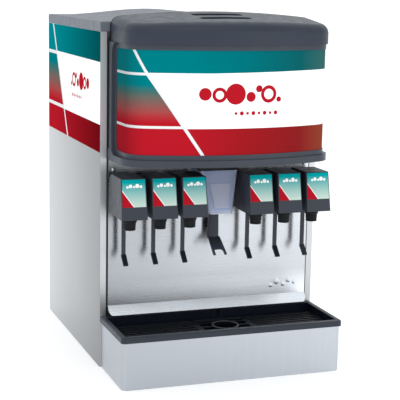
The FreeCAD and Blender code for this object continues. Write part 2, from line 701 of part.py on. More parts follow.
def drip_tray():
    """Plastic pan with a broad rim, a drain spout and a latch notch in its back wall."""
    back = -1.0
    rim = fronted_prism(TRAY_HALF, -TRAY_REACH, 10, (TRAY_TOP - RIM_HEIGHT, TRAY_TOP), back)
    rim_edges = edges_where(rim, lambda p, e: p.z > TRAY_TOP - 0.01 and p.y < back - 0.5)
    rim = rim.makeFillet(3.5, rim_edges)
    half = TRAY_HALF - RIM_WIDTH
    front = -TRAY_REACH + RIM_WIDTH + 2
    pan = block((-half - WALL, half + WALL), (front - WALL, -9), (TRAY_FLOOR, TRAY_TOP - 1))
    well = block((-half, half), (front, -12), (TRAY_FLOOR + WALL, TRAY_TOP + 1))
    spout = rod_z(DRAIN_RADIUS + 1.5, 0, DRAIN_Y, (DRAIN_Z + 22, TRAY_FLOOR + 1))
    drain = rod_z(DRAIN_RADIUS - 2, 0, DRAIN_Y, (DRAIN_Z, TRAY_FLOOR + 10))
    notch = block((9, 27), (-20, 0), (GRID_TOP, TRAY_TOP + 1))
    tray = cut_all(joined([rim, pan, spout]), [well, drain, notch])
    return joined([tray] + rest_posts())


def rest_spans():
    """The (low, high) x of the left, centre and right cup rests."""
    edge = TRAY_HALF - RIM_WIDTH - 1
    low, high = CENTRE_X - CENTRE_HALF, CENTRE_X + CENTRE_HALF
    return (-edge, low), (low + 0.5, high - 0.5), (high, edge)


def rest_posts():
    """Posts on the tray's floor, one under each corner of each cup rest."""
    z = (TRAY_FLOOR + WALL - 1, GRID_TOP - GRID_THICK)
    posts = []
    for low, high in rest_spans():
        for x in (low + POST_INSET, high - POST_INSET):
            for y in (GRID_FRONT + POST_INSET, GRID_BACK - POST_INSET):
                posts.append(rod_z(4, x, y, z))
    return posts


def cup_rest(x):
    """A grid of close ribs running across between x = (low, high), tied by two low cross bars."""
    low, high = GRID_TOP - GRID_THICK, GRID_TOP
    plate = block(x, (GRID_FRONT, GRID_BACK), (low, high))
    span = (x[0] + GRID_BORDER, x[1] - GRID_BORDER)
    slots = []
    y = GRID_FRONT + GRID_BORDER
    while y + GRID_GAP <= GRID_BACK - GRID_BORDER + 0.01:
        slots.append(block(span, (y, y + GRID_GAP), (low - 1, high + 1)))
        y += GRID_RIB + GRID_GAP
    ties = []
    for share in (1 / 3, 2 / 3):
        middle = span[0] + (span[1] - span[0]) * share
        tie_x = (middle - GRID_RIB / 2, middle + GRID_RIB / 2)
        ties.append(block(tie_x, (GRID_FRONT + 1, GRID_BACK - 1), (low, low + GRID_TIE)))
    return joined([cut_all(plate, slots)] + ties)


def centre_cup_rest(x):
    """Open middle rest: a frame and a few bars that carry the cup ring."""
    z = (GRID_TOP - GRID_THICK, GRID_TOP)
    inner_x = (x[0] + GRID_BORDER, x[1] - GRID_BORDER)
    inner_y = (GRID_FRONT + GRID_BORDER, GRID_BACK - GRID_BORDER)
    frame = ring_prism((x, (GRID_FRONT, GRID_BACK)), (inner_x, inner_y), z)
    bars = [block((x[0] + 1, x[1] - 1), (y - 3.5, y + 3.5), z) for y in CENTRE_BARS_Y]
    ring_top = GRID_TOP + 2
    disc = rod_z(RING_RADIUS, CENTRE_X, RING_Y, (z[0], ring_top))
    hole = rod_z(RING_HOLE, CENTRE_X, RING_Y, (z[0] - 1, ring_top + 1))
    return joined([frame] + bars + [disc]).cut(hole)


def drain_pipe():
    """Pipe from the tray's spout back to the rear of the cabinet, with a riser from the ice bin."""
    def run(radius, riser_radius, grow):
        down = rod_z(radius, 0, DRAIN_Y, (DRAIN_Z, DRAIN_Z + 22 + grow))
        back = rod_y(radius, 0, (DRAIN_Y, CONNECTION_END + grow), DRAIN_Z)
        elbow = Part.makeSphere(radius, Vector(0, DRAIN_Y, DRAIN_Z))
        riser = rod_z(riser_radius, 0, RISER_Y, (DRAIN_Z, BIN_BOTTOM + BIN_WALL + grow))
        return joined([down, back, elbow, riser])

    wall = 2.4
    collar_end = CONNECTION_END - DRAIN_STUB
    collar = rod_y(DRAIN_COLLAR, 0, (collar_end - 14, collar_end), DRAIN_Z)
    outside = joined([run(DRAIN_RADIUS, RISER_RADIUS, 0), collar])
    return outside.cut(run(DRAIN_RADIUS - wall, RISER_RADIUS - wall, 1))


# ---- connections ----
def inlet_plate():
    """Bracket near the rear opening that holds the hose stubs."""
    plate = block((-200, 200), (INLET_PLATE_Y, INLET_PLATE_Y + 2), (1.5, 92))
    plate = plate.cut(block((-205, -166), (INLET_PLATE_Y - 1, INLET_PLATE_Y + 3), (85, 95)))
    foot = block((-160, 160), (INLET_PLATE_Y - 18, INLET_PLATE_Y + 1), (1.5, 3.5))
    through = (INLET_PLATE_Y - 1, INLET_PLATE_Y + 3)
    holes = [rod_y(INLET_RADIUS + 0.2, x, through, INLET_Z) for x in INLET_X]
    holes.append(rod_y(DRAIN_COLLAR + 0.5, 0, through, DRAIN_Z))
    return cut_all(joined([plate, foot]), holes)


def inlet_fittings():
    """Eight stubs: six syrups, soda water and plain water."""
    fittings = []
    for x in INLET_X:
        stub = rod_y(INLET_RADIUS, x, (INLET_PLATE_Y - 18, CONNECTION_END), INLET_Z)
        collars = [rod_y(8, x, (y, y + 5), INLET_Z) for y in (INLET_PLATE_Y - 5, INLET_PLATE_Y + 2)]
        bore = rod_y(INLET_RADIUS - 1.75, x, (INLET_PLATE_Y - 20, CONNECTION_END + 1), INLET_Z)
        fittings.append(joined([stub] + collars).cut(bore))
    return Part.makeCompound(fittings)


def control_box():
    """Electrical tray with a transformer, open to the front plate."""
    tray = block((75, 225), (1.6, 78), (625, 780)).cut(block((77, 223), (0, 76), (627, 778)))
    transformer = block((95, 160), (30, 77), (650, 720))
    terminals = [block((175, 210), (60, 77), (640 + 24 * row, 656 + 24 * row)) for row in range(5)]
    return joined([tray, transformer] + terminals)


# ---- agitator ----
def agitator_motor():
    """Gearbox on the bin's front with an upright motor below."""
    gearbox = block((-GEARBOX_HALF, GEARBOX_HALF), GEARBOX_Y, GEARBOX_Z)
    gearbox = gearbox.makeFillet(6, edges_where(gearbox, lambda p, e: e.BoundBox.YLength > 50))
    pad_x, pad_z = GEARBOX_HALF - 12, (GEARBOX_Z[0] + 10, GEARBOX_Z[1] - 10)
    pad_y = (GEARBOX_Y[1] - 2, FOAM_FRONT - 0.1)
    pads = [block((x - 8, x + 8), pad_y, (z - 8, z + 8)) for x in (-pad_x, pad_x) for z in pad_z]
    motor_y = sum(GEARBOX_Y) / 2
    motor = rod_z(MOTOR_RADIUS, 0, motor_y, (MOTOR_LOW, GEARBOX_Z[0] + 1))
    cap = rod_z(MOTOR_RADIUS - 4, 0, motor_y, (MOTOR_LOW - 8, MOTOR_LOW + 1))
    bore = rod_y(SHAFT_RADIUS + PIN_CLEAR, 0, (motor_y + 7, GEARBOX_Y[1] + 12), WHEEL_Z)
    return joined([gearbox, motor, cap] + pads).cut(bore)


def shaft_bearing():
    """Flanged bush in the bin's front wall."""
    sleeve = rod_y(BEARING_RADIUS - 0.05, 0, (BIN_FRONT - 18, BIN_FRONT + BIN_WALL), WHEEL_Z)
    flange = rod_y(20, 0, (BIN_FRONT + BIN_WALL, BIN_FRONT + BIN_WALL + 3), WHEEL_Z)
    return joined([sleeve, flange]).cut(rod_y(SHAFT_RADIUS + PIN_CLEAR, 0, (80, 120), WHEEL_Z))


def agitator_shaft():
    """Shaft with two cross rods that keep the ice loose."""
    shaft = rod_y(SHAFT_RADIUS, 0, (60, 440), WHEEL_Z)
    along = rod_x(5, (-135, 135), 260, WHEEL_Z)
    across = rod_z(5, 0, 400, (WHEEL_Z - 135, WHEEL_Z + 135))
    return joined([shaft, along, across])


def paddle_wheel():
    """Disc with eight vanes that lifts ice to the outlet."""
    front = BIN_FRONT + BIN_WALL + 6
    disc = rod_y(WHEEL_RADIUS, 0, (front + 34, front + 38), WHEEL_Z)
    hub = rod_y(20, 0, (front, front + 46), WHEEL_Z)
    vanes = []
    for turn in range(8):
        vane = block((0, WHEEL_RADIUS - 1), (front, front + 35), (-2, 2))
        vane.rotate(Vector(0, 0, 0), Y_AXIS, 45 * turn)
        vane.translate(Vector(0, 0, WHEEL_Z))
        vanes.append(vane)
    return joined([disc, hub] + vanes).cut(rod_y(SHAFT_RADIUS, 0, (front - 1, front + 50), WHEEL_Z))


# ---- ice path ----
def ice_throat():
    """Black duct from the bin's outlet to the chute, slotted on top for the gate."""
    x = (-THROAT_HALF, THROAT_HALF)
    duct = block(x, (THROAT_FRONT, BIN_FRONT - 0.2), (THROAT_BOTTOM, THROAT_TOP))
    inner_x = (x[0] + WALL, x[1] - WALL)
    hollow = block(inner_x, (THROAT_FRONT + WALL, BIN_FRONT + 1), (THROAT_BOTTOM + WALL, THROAT_TOP - WALL))
    mouth_y = (THROAT_FRONT + 4, CHUTE_MOUTH_BACK)
    mouth = block((x[0] + 5, x[1] - 5), mouth_y, (THROAT_BOTTOM - 1, THROAT_BOTTOM + 5))
    slot = block(inner_x, (GATE_Y - 1, GATE_Y + 3), (THROAT_TOP - 5, THROAT_TOP + 1))
    return cut_all(duct, [hollow, mouth, slot])


def ice_chute():
    """Clear tapered funnel that leads ice forward and down into the cup."""
    def outline(half, y, wall, z):
        x = (wall - half, half - wall)
        return rounded_rectangle(x, (y[0] + wall, y[1] - wall), CHUTE_CORNER - wall, z)

    def funnel(wall, grow):
        top = outline(CHUTE_TOP_HALF, CHUTE_TOP_Y, wall, CHUTE_TOP + grow)
        low = outline(CHUTE_LOW_HALF, CHUTE_LOW_Y, wall, CHUTE_BOTTOM - grow)
        return Part.makeLoft([low, top], True, True)

    return funnel(0, 0).cut(funnel(CHUTE_WALL, 0.01))


def ice_lever_bracket():
    """Bent bracket on the splash panel with two ears for the ice lever's pin."""
    plate = block((-22, 38), (SPLASH_FRONT - 2, SPLASH_FRONT), (384, 416))
    ear_y = (ICE_PIN_Y - 8, SPLASH_FRONT - 1)
    ears = [block((x, x + 3), ear_y, (391, 407)) for x in (-ICE_EAR_INSIDE - 3, ICE_EAR_INSIDE)]
    hole = rod_x(ICE_PIN_RADIUS + PIN_CLEAR, (-25, 25), ICE_PIN_Y, ICE_PIN_Z)
    return joined([plate] + ears).cut(hole)


def ice_lever():
    """Curved push bar, wider towards its knee, that ends in a forward fork."""
    front = ICE_PIN_Y - 13
    axis_y = front + ICE_BAR_CURVE
    z = (ICE_KNEE_Z, ICE_PIN_Z - 3)
    top_half, knee_half = ICE_BAR_HALF
    bore = rod_z(ICE_BAR_CURVE - ICE_BAR_THICK, 0, axis_y, (z[0] - 1, z[1] + 1))
    bar = rod_z(ICE_BAR_CURVE, 0, axis_y, z).cut(bore)
    outline = [(-knee_half, z[0]), (knee_half, z[0]), (top_half, z[1]), (-top_half, z[1])]
    bar = bar.common(front_profile(outline, (front - 1, axis_y - 7)))
    hub = rod_x(6, (1 - ICE_EAR_INSIDE, ICE_EAR_INSIDE - 1), ICE_PIN_Y, ICE_PIN_Z)
    web = block((-10, 10), (front + 2.5, ICE_PIN_Y), (ICE_PIN_Z - 8, ICE_PIN_Z + 2))
    corners = [Vector(-knee_half, 0, 0), Vector(knee_half, 0, 0),
               Vector(FORK_TIP_HALF, -FORK_LENGTH, 0), Vector(-FORK_TIP_HALF, -FORK_LENGTH, 0)]
    plate = Part.Face(Part.makePolygon(corners + corners[:1])).extrude(Vector(0, 0, FORK_THICK))
    slot_y = (-FORK_LENGTH - FORK_SLOT_DEPTH, FORK_SLOT_DEPTH - FORK_LENGTH)
    slot = rounded_rectangle((-FORK_SLOT_HALF, FORK_SLOT_HALF), slot_y, FORK_SLOT_CORNER, -1)
    plate = plate.cut(Part.Face(slot).extrude(Vector(0, 0, FORK_THICK + 2)))
    plate.rotate(Vector(0, 0, 0), X_AXIS, FORK_TURN)
    plate.translate(Vector(0, front + 3.5, ICE_KNEE_Z + 1))
    pin_hole = rod_x(ICE_PIN_RADIUS + PIN_CLEAR, (-25, 25), ICE_PIN_Y, ICE_PIN_Z)
    return joined([bar, hub, web, plate]).cut(pin_hole)


def ice_gate():
    """Sliding plate that closes the throat, with a stem that its solenoid's plunger lifts."""
    low = THROAT_BOTTOM + WALL + 0.2
    plate = block((4 - THROAT_HALF, THROAT_HALF - 4), (GATE_Y, GATE_Y + 2), (low, THROAT_TOP + 8))
    stem = block((-5, 5), (GATE_Y - 2, GATE_Y + 4), (THROAT_TOP + 7, THROAT_TOP + 25))
    return joined([plate, stem])


def gate_plunger():
    return rod_z(6, 0, GATE_Y + 1, (THROAT_TOP + 25, THROAT_TOP + 110))


def gate_solenoid():
    """Coil and bracket above the throat; its plunger lifts the gate."""
    low = THROAT_TOP + 60
    coil = block((-24, 24), (GATE_Y - 21, GATE_Y + 23), (low, low + 44))
    bracket = block((-18, 18), (1.5, GATE_Y - 20), (low + 6, low + 38))
    return joined([coil, bracket]).cut(rod_z(6 + CLEAR, 0, GATE_Y + 1, (low - 1, low + 45)))


# ---- valves ----
def mounting_blocks():
    """One plastic block per valve, with the two stubs that pass through the splash panel."""
    blocks = []
    for x in VALVE_X:
        body = block((x - 20, x + 20), (BLOCK_FRONT, SPLASH_FRONT), (396, 460))
        stub_y = (SPLASH_FRONT - 1, STUB_END)
        stubs = [rod_y(STUB_RADIUS, x + side * STUB_SPREAD, stub_y, STUB_Z) for side in (-1, 1)]
        blocks.append(joined([body] + stubs))
    return Part.makeCompound(blocks)


def valve_bodies():
    """Valve base with flow controls, nozzle spigot and a slot for the lever."""
    bodies = []
    for x in VALVE_X:
        base = block((x - 24, x + 24), (-112, BLOCK_FRONT), (VALVE_FLOOR, VALVE_FLOOR + 30))
        plate = block((x - 24, x + 24), (BLOCK_FRONT - 4, BLOCK_FRONT), (VALVE_FLOOR, VALVE_FLOOR + 76))
        controls = [rod_y(7.5, x + side * STUB_SPREAD, (-119, -100), VALVE_FLOOR + 16) for side in (-1, 1)]
        spigot = rod_z(11, x, NOZZLE_Y, (VALVE_FLOOR - 8, VALVE_FLOOR + 1))
        slot = block((x - 6.5, x + 6.5), (-50, BLOCK_FRONT - 1.5), (VALVE_FLOOR - 1, VALVE_FLOOR + 40))
        hole = rod_x(LEVER_PIN_RADIUS + PIN_CLEAR, (x - 25, x + 25), LEVER_PIN_Y, LEVER_PIN_Z)
        bodies.append(cut_all(joined([base, plate, spigot] + controls), [slot, hole]))
    return Part.makeCompound(bodies)


def valve_solenoids():
    """Syrup and soda coils standing on each valve body."""
    low = VALVE_FLOOR + 30
    coils = []
    for x in VALVE_X:
        for side in (-1, 1):
            middle = x + side * STUB_SPREAD
            coil = rod_z(11, middle, -72, (low, low + 40))
            core = rod_z(4, middle, -72, (low + 39, low + 50))
            coils.append(joined([coil, core]))
    return Part.makeCompound(coils)


def lever_pins():
    """One pin for each valve lever and a thicker one for the ice lever."""
    pins = [rod_x(LEVER_PIN_RADIUS, (x - 22, x + 22), LEVER_PIN_Y, LEVER_PIN_Z) for x in VALVE_X]
    pins.append(rod_x(ICE_PIN_RADIUS, (-22, 22), ICE_PIN_Y, ICE_PIN_Z))
    return Part.makeCompound(pins)


def lever_switches():
    """A micro switch in front of each lever's tail, and one beside the ice lever's bracket."""
    switches = []
    for x in VALVE_X:
        body = block((x - 8, x + 8), (SWITCH_FRONT, SWITCH_BACK), (VALVE_FLOOR + 30, VALVE_FLOOR + 46))
        button_y = (SWITCH_BACK - 1, SWITCH_BACK + 1.2)
        button = block((x - 2, x + 2), button_y, (VALVE_FLOOR + 35, VALVE_FLOOR + 40))
        switches.append(joined([body, button]))
    switches.append(block((24, 36), (-20, SPLASH_FRONT - 2), (386, 414)))
    return Part.makeCompound(switches)


def nozzles():
    """Fluted outlet cones, revolved about each valve's pouring axis."""
    top = VALVE_FLOOR - 0.5
    profile = [(11.1, top), (15, top), (15, top - 5), (13.3, top - 7), (12.4, NOZZLE_END),
               (10.4, NOZZLE_END), (11.1, top - 7.5)]
    cones = []
    for x in VALVE_X:
        points = [Vector(x + radius, NOZZLE_Y, z) for radius, z in profile]
        face = Part.Face(Part.makePolygon(points + points[:1]))
        cones.append(face.revolve(Vector(x, NOZZLE_Y, 0), Z_AXIS, 360))
    return Part.makeCompound(cones)


def cover_solid(x, wall):
    """A valve cover's outer (wall 0) or inner volume: a wedge nose and a rounded top back corner."""
    low = COVER_BOTTOM - (5 if wall else 0)
    slope = (COVER_NOSE_HIGH - COVER_NOSE_LOW) / (COVER_TOP - COVER_BOTTOM)
    top = COVER_TOP - wall
    back = COVER_BACK + (5 if wall else 0)

    def nose(z):
        return COVER_NOSE_LOW + slope * (z - COVER_BOTTOM) + wall

    def half(z):
        narrowing = (COVER_HALF_LOW - COVER_HALF_HIGH) / (COVER_TOP - COVER_BOTTOM)
        return COVER_HALF_LOW - narrowing * (z - COVER_BOTTOM) - wall

    side = side_profile([(back, low), (nose(low), low), (nose(top), top), (back, top)], (x - 50, x + 50))
    outline = [(x - half(low), low), (x + half(low), low), (x + half(top), top), (x - half(top), top)]
    shape = side.common(front_profile(outline, (-200, 50)))
    shoulder = edges_where(shape, lambda p, e: p.z > top - 0.01 and p.y > back - 0.01)
    return shape.makeFillet(24, shoulder)


def valve_cover(x):
    """Moulded cover, open below and behind."""
    outer = cover_solid(x, 0)
    soft = edges_where(outer, lambda p, e: p.y < -70 and p.z > COVER_BOTTOM + 1)
    return outer.makeFillet(1.6, soft).cut(cover_solid(x, COVER_WALL))


def valve_labels():
    """Thin flavour cards on the sloping cover noses."""
    slope = (COVER_NOSE_HIGH - COVER_NOSE_LOW) / (COVER_TOP - COVER_BOTTOM)
    low_y = COVER_NOSE_LOW + slope * (LABEL_LOW - COVER_BOTTOM)
    high_y = COVER_NOSE_LOW + slope * (LABEL_HIGH - COVER_BOTTOM)
    cards = []
    for x in VALVE_X:
        strip = [(low_y, LABEL_LOW), (low_y - LABEL_THICK, LABEL_LOW),
                 (high_y - LABEL_THICK, LABEL_HIGH), (high_y, LABEL_HIGH)]
        card = side_profile(strip, (x - 40, x + 40))
        outline = [(x - LABEL_HALF_LOW, LABEL_LOW - 1), (x + LABEL_HALF_LOW, LABEL_LOW - 1),
                   (x + LABEL_HALF_HIGH, LABEL_HIGH + 1), (x - LABEL_HALF_HIGH, LABEL_HIGH + 1)]
        cards.append(card.common(front_profile(outline, (-200, 0))))
    return Part.makeCompound(cards)


def valve_lever(x):
    """Push lever: a flat bar on its pin, a wider toe below and a tail that works the switch above."""
    toe_y, toe_z = LEVER_TOE
    y = LEVER_PIN_Y
    front, back = y - LEVER_THICK / 2, y + LEVER_THICK / 2
    knee_front, knee_back = (front, LEVER_KNEE_Z + 2), (back, LEVER_KNEE_Z - 2)
    toe = side_profile(
        [knee_back, (toe_y + 3, toe_z - 3.5), (toe_y, toe_z), knee_front],
        (x - LEVER_TOE_HALF, x + LEVER_TOE_HALF),
    )
    bar = side_profile(
        [(back, LEVER_TAIL_Z), knee_back, knee_front, (front, LEVER_TAIL_Z)],
        (x - LEVER_HALF, x + LEVER_HALF),
    )
    hub = rod_x(5.2, (x - 6, x + 6), y, LEVER_PIN_Z)
    hole = rod_x(LEVER_PIN_RADIUS + PIN_CLEAR, (x - 8, x + 8), y, LEVER_PIN_Z)
    return joined([bar, toe, hub]).cut(hole)


def build():
    os.makedirs("parts", exist_ok=True)
    right = side_panel()
    rear_y = (CABINET_DEPTH - 10, CABINET_DEPTH + 1)
    screw_holes = [rod_y(SCREW_RADIUS + 0.2, side * REAR_SCREW_X, rear_y, z)
                   for side in (-1, 1) for z in REAR_SCREW_Z]
    front_holes = [rod_y(SCREW_RADIUS + 0.2, x, (-1, 5), z) for x, z in SPLASH_SCREWS]
    save("right_side_panel", cut_all(right, screw_holes))
    save("left_side_panel", cut_all(mirrored(right), screw_holes))
    save("rear_panel", cut_all(rear_panel(), screw_holes))
    save("front_frame", cut_all(front_frame(), front_holes))
    save("base_pan", base_pan())
    save("tank_supports", tank_supports())
    save("foam_insulation", cut_all(foam_insulation(), screw_holes))
    save("ice_bin", ice_bin())
    save("cold_plate", cold_plate())
    save("top_collar", top_collar())
    save("bin_lid", bin_lid())
    save("lid_gasket", lid_gasket())
    save("hood", hood())
    save("sign_frame", sign_frame())
    save("sign_panel", sign_panel())
    save("sign_reflector", sign_reflector())
    save("lamp_tube", lamp_tube())
    save("lamp_holders", lamp_holders())
    save("splash_panel", splash_panel())
    save("panel_screws", panel_screws())
    save("tray_housing", tray_housing())
    save("drip_tray", drip_tray())
    left, centre, right = rest_spans()
    save("cup_rest_left", cup_rest(left))
    save("cup_rest_right", cup_rest(right))
    save("cup_rest_centre", centre_cup_rest(centre))
    save("drain_pipe", drain_pipe())
    save("inlet_plate", inlet_plate())
    save("inlet_fittings", inlet_fittings())
    save("control_box", control_box())
    save("agitator_motor", agitator_motor())
    save("shaft_bearing", shaft_bearing())
    save("agitator_shaft", agitator_shaft())
    save("paddle_wheel", paddle_wheel())
    save("ice_throat", ice_throat())
    save("ice_chute", ice_chute())
    save("ice_lever_bracket", ice_lever_bracket())
    save("ice_lever", ice_lever())
    save("ice_gate", ice_gate())
    save("gate_plunger", gate_plunger())
    save("gate_solenoid", gate_solenoid())
    save("product_lines", product_lines())
    save("mounting_blocks", mounting_blocks())
    save("valve_bodies", valve_bodies())
    save("valve_solenoids", valve_solenoids())
    save("lever_pins", lever_pins())
    save("lever_switches", lever_switches())
    save("nozzles", nozzles())
    save("valve_labels", valve_labels())
    for number, x in enumerate(VALVE_X, 1):
        save("valve_cover_%d" % number, valve_cover(x))
        save("valve_lever_%d" % number, valve_lever(x))


build()
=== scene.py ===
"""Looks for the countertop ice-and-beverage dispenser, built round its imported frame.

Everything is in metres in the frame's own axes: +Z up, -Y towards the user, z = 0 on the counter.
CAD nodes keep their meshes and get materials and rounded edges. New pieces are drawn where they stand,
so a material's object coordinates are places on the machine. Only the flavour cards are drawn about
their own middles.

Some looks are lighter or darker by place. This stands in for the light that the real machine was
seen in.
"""

import bmesh
import bpy
import json
import math
from mathutils import Matrix, Vector
from operator import attrgetter


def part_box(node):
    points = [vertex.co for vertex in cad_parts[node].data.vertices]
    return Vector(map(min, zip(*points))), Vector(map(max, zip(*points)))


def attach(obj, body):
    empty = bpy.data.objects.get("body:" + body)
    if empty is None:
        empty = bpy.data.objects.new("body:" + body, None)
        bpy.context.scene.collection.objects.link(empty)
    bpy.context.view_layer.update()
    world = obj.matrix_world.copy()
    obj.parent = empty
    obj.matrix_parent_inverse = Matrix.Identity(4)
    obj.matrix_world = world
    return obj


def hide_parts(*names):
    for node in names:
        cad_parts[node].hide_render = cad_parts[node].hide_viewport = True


MM = 0.001
X, Y, Z = range(3)

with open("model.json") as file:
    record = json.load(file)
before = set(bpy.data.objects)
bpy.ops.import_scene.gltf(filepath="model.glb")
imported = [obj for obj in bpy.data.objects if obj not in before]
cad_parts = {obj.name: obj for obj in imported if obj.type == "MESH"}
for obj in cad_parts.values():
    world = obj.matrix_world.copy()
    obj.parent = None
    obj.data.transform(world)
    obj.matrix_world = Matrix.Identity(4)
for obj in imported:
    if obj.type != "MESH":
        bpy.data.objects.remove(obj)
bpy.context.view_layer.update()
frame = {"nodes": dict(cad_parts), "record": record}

# ---- places read from the frame ----
SIDE_LOW, SIDE_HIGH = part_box("right_side_panel")
FRONT_Y = SIDE_LOW.y
REAR_Y = SIDE_HIGH.y
SIDE_X = SIDE_HIGH.x
PANEL_TOP = SIDE_HIGH.z
SPLASH_LOW, SPLASH_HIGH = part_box("splash_panel")
TOE_RISE = 22 * MM                # height of the splash panel's turned-out lower edge
TOE_REACH = 17 * MM               # how far that edge stands in front of the panel's face
CHUTE_LOW, CHUTE_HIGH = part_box("ice_chute")
CHUTE_MOUTH_HALF = 28.5 * MM      # half the clear chute's width at its mouth
LEVER_TOE_RISE = 25 * MM          # height of the toe at a valve lever's foot
GAP_STRIP = 9 * MM                # depth of the sign's painted-shadow strip next to the cabinet
TRAY_RIM = 9 * MM                 # width of the tray's rim, which stays unshaded
TRAY_RIM_DROP = 2 * MM            # how far below the rim's top the painted shade begins
FORK_REACH = 40 * MM              # how far back from its tips the ice lever's fork carries painted light
VALVES = range(1, 7)


def srgb(red, green, blue):
    """A linear colour from 0-255 values."""
    def linear(value):
        share = value / 255
        return share / 12.92 if share <= 0.04045 else ((share + 0.055) / 1.055) ** 2.4

    return linear(red), linear(green), linear(blue)


# ---- colours ----
TEAL = srgb(0, 119, 126)
SIDE_TEAL = srgb(2, 131, 139)
RED = srgb(176, 25, 38)
# the sign's two bands grow darker and greyer to the right: (share of SIGN_FADE_X, colour)
SIGN_TEALS = [(0.0, TEAL), (0.36, srgb(2, 109, 116)), (0.76, srgb(12, 90, 94)), (0.95, srgb(54, 97, 97))]
SIGN_REDS = [(0.0, RED), (0.36, srgb(153, 26, 32)), (0.76, srgb(130, 30, 32)), (0.95, srgb(134, 62, 45))]
BLOCK_STOPS = [                   # the framed block, from its foot up
    (0.1, RED), (0.21, srgb(172, 50, 56)), (0.31, srgb(158, 74, 72)), (0.43, srgb(133, 88, 84)),
    (0.55, srgb(106, 99, 93)), (0.66, srgb(66, 106, 102)), (0.78, TEAL),
]
CLEAR_BLUE = srgb(208, 222, 255)
CLEAR_PALE = srgb(232, 238, 255)
WHITE = srgb(250, 250, 250)
LINE_WHITE = srgb(226, 229, 231)
CARD_TOP = srgb(0, 160, 164)
CARD_LOW = srgb(196, 216, 206)
SLATE = srgb(66, 72, 84)
HOOD_SLATE = srgb(45, 53, 66)
# the lid's slate, made lighter as painted sheen for the overhead reflection on its top
LID_SLATE = srgb(118, 124, 136)
NEAR_BLACK = srgb(20, 21, 24)
NOZZLE_BLACK = srgb(16, 20, 27)
# painted shade and light: what a place's red, green and blue are multiplied by
GAP_SHADE = (0.03, 0.03, 0.03)
WELL_SHADE = (0.16, 0.2, 0.3)
TOE_SHADE = (0.4, 0.4, 0.4)
TIP_LIGHT = (2.4, 2.5, 2.6)
PRINT_IOR = 1.0                   # prints mirror nothing, so they keep their colour at a glancing angle

# ---- printed graphics: heights are above the counter ----
SIGN_WHITE = (602 * MM, 728 * MM)
SIGN_THIN = 6 * MM                # the two thin stripes left of the diagonal
SIGN_FADE_X = (-130 * MM, 250 * MM)    # where across the sign that change begins and ends
SIGN_CORNER_Y = FRONT_Y - 146 * MM    # where the bow turns into its end corners
SIGN_WRAP = 0.55                  # sideways shift of the slanted line per metre back round the corner
SIGN_LIFT = 6 * MM                # how much the white band widens towards the right end
SIGN_LIFT_START = -60 * MM        # where across the sign that widening begins
SIGN_END_SHADE = (0.42, 42 * MM)  # painted shade: how dark the left end turns, and how far round its corner
SIGN_SYMBOL = (0.0, 657 * MM, 48 * MM)    # middle, foot and size of the bubble symbol
SIGN_LINE_FOOT = (-86 * MM, 541 * MM)
SIGN_LINE_LEAN = -0.672           # sideways travel per metre up
SIGN_LINE_WIDTH = 8.6 * MM
CARD_LINE_TOP = 0.615             # shares of the card's height and width where the line leaves it
CARD_LINE_FOOT = 0.485
CARD_LINE_HALF = 0.022            # half the line's width, as a share of the card's height
# (across, height, radius) about the card's middle, in mm
CARD_BUBBLES = [(-15, 14.5, 3.0), (-7.5, 16.5, 4.2), (1, 14.5, 2.6), (8.5, 17, 4.8), (17, 15, 3.2)]
# (across, height, radius, hole) of the bubble symbol's row, as shares of its size
BUBBLE_ROW = [
    (-1.72, 0.5, 0.3, 0), (-1.02, 0.46, 0.36, 0.2), (-0.22, 0.5, 0.5, 0), (0.56, 0.36, 0.24, 0),
    (0.98, 0.74, 0.17, 0), (1.5, 0.48, 0.42, 0.25), (2.06, 0.22, 0.13, 0),
]
SIDE_PRINT_LOW = 528 * MM
SIDE_WHITE = (594.5 * MM, 742 * MM)
SIDE_THIN = 9 * MM
SIDE_LINE_FOOT = (331 * MM, 528 * MM)
SIDE_LINE_LEAN = 0.578
SIDE_LINE_WIDTH = 11 * MM
SIDE_FADE = (20 * MM, 480 * MM)   # painted shade: the side's bands lighten over these depths, darkest at the front
SIDE_FRONT_SHADE = 0.34           # share of their colour that they keep at the front
SIDE_SYMBOL = (195 * MM, 660 * MM, 44 * MM)    # as SIGN_SYMBOL; its middle is a depth from the front


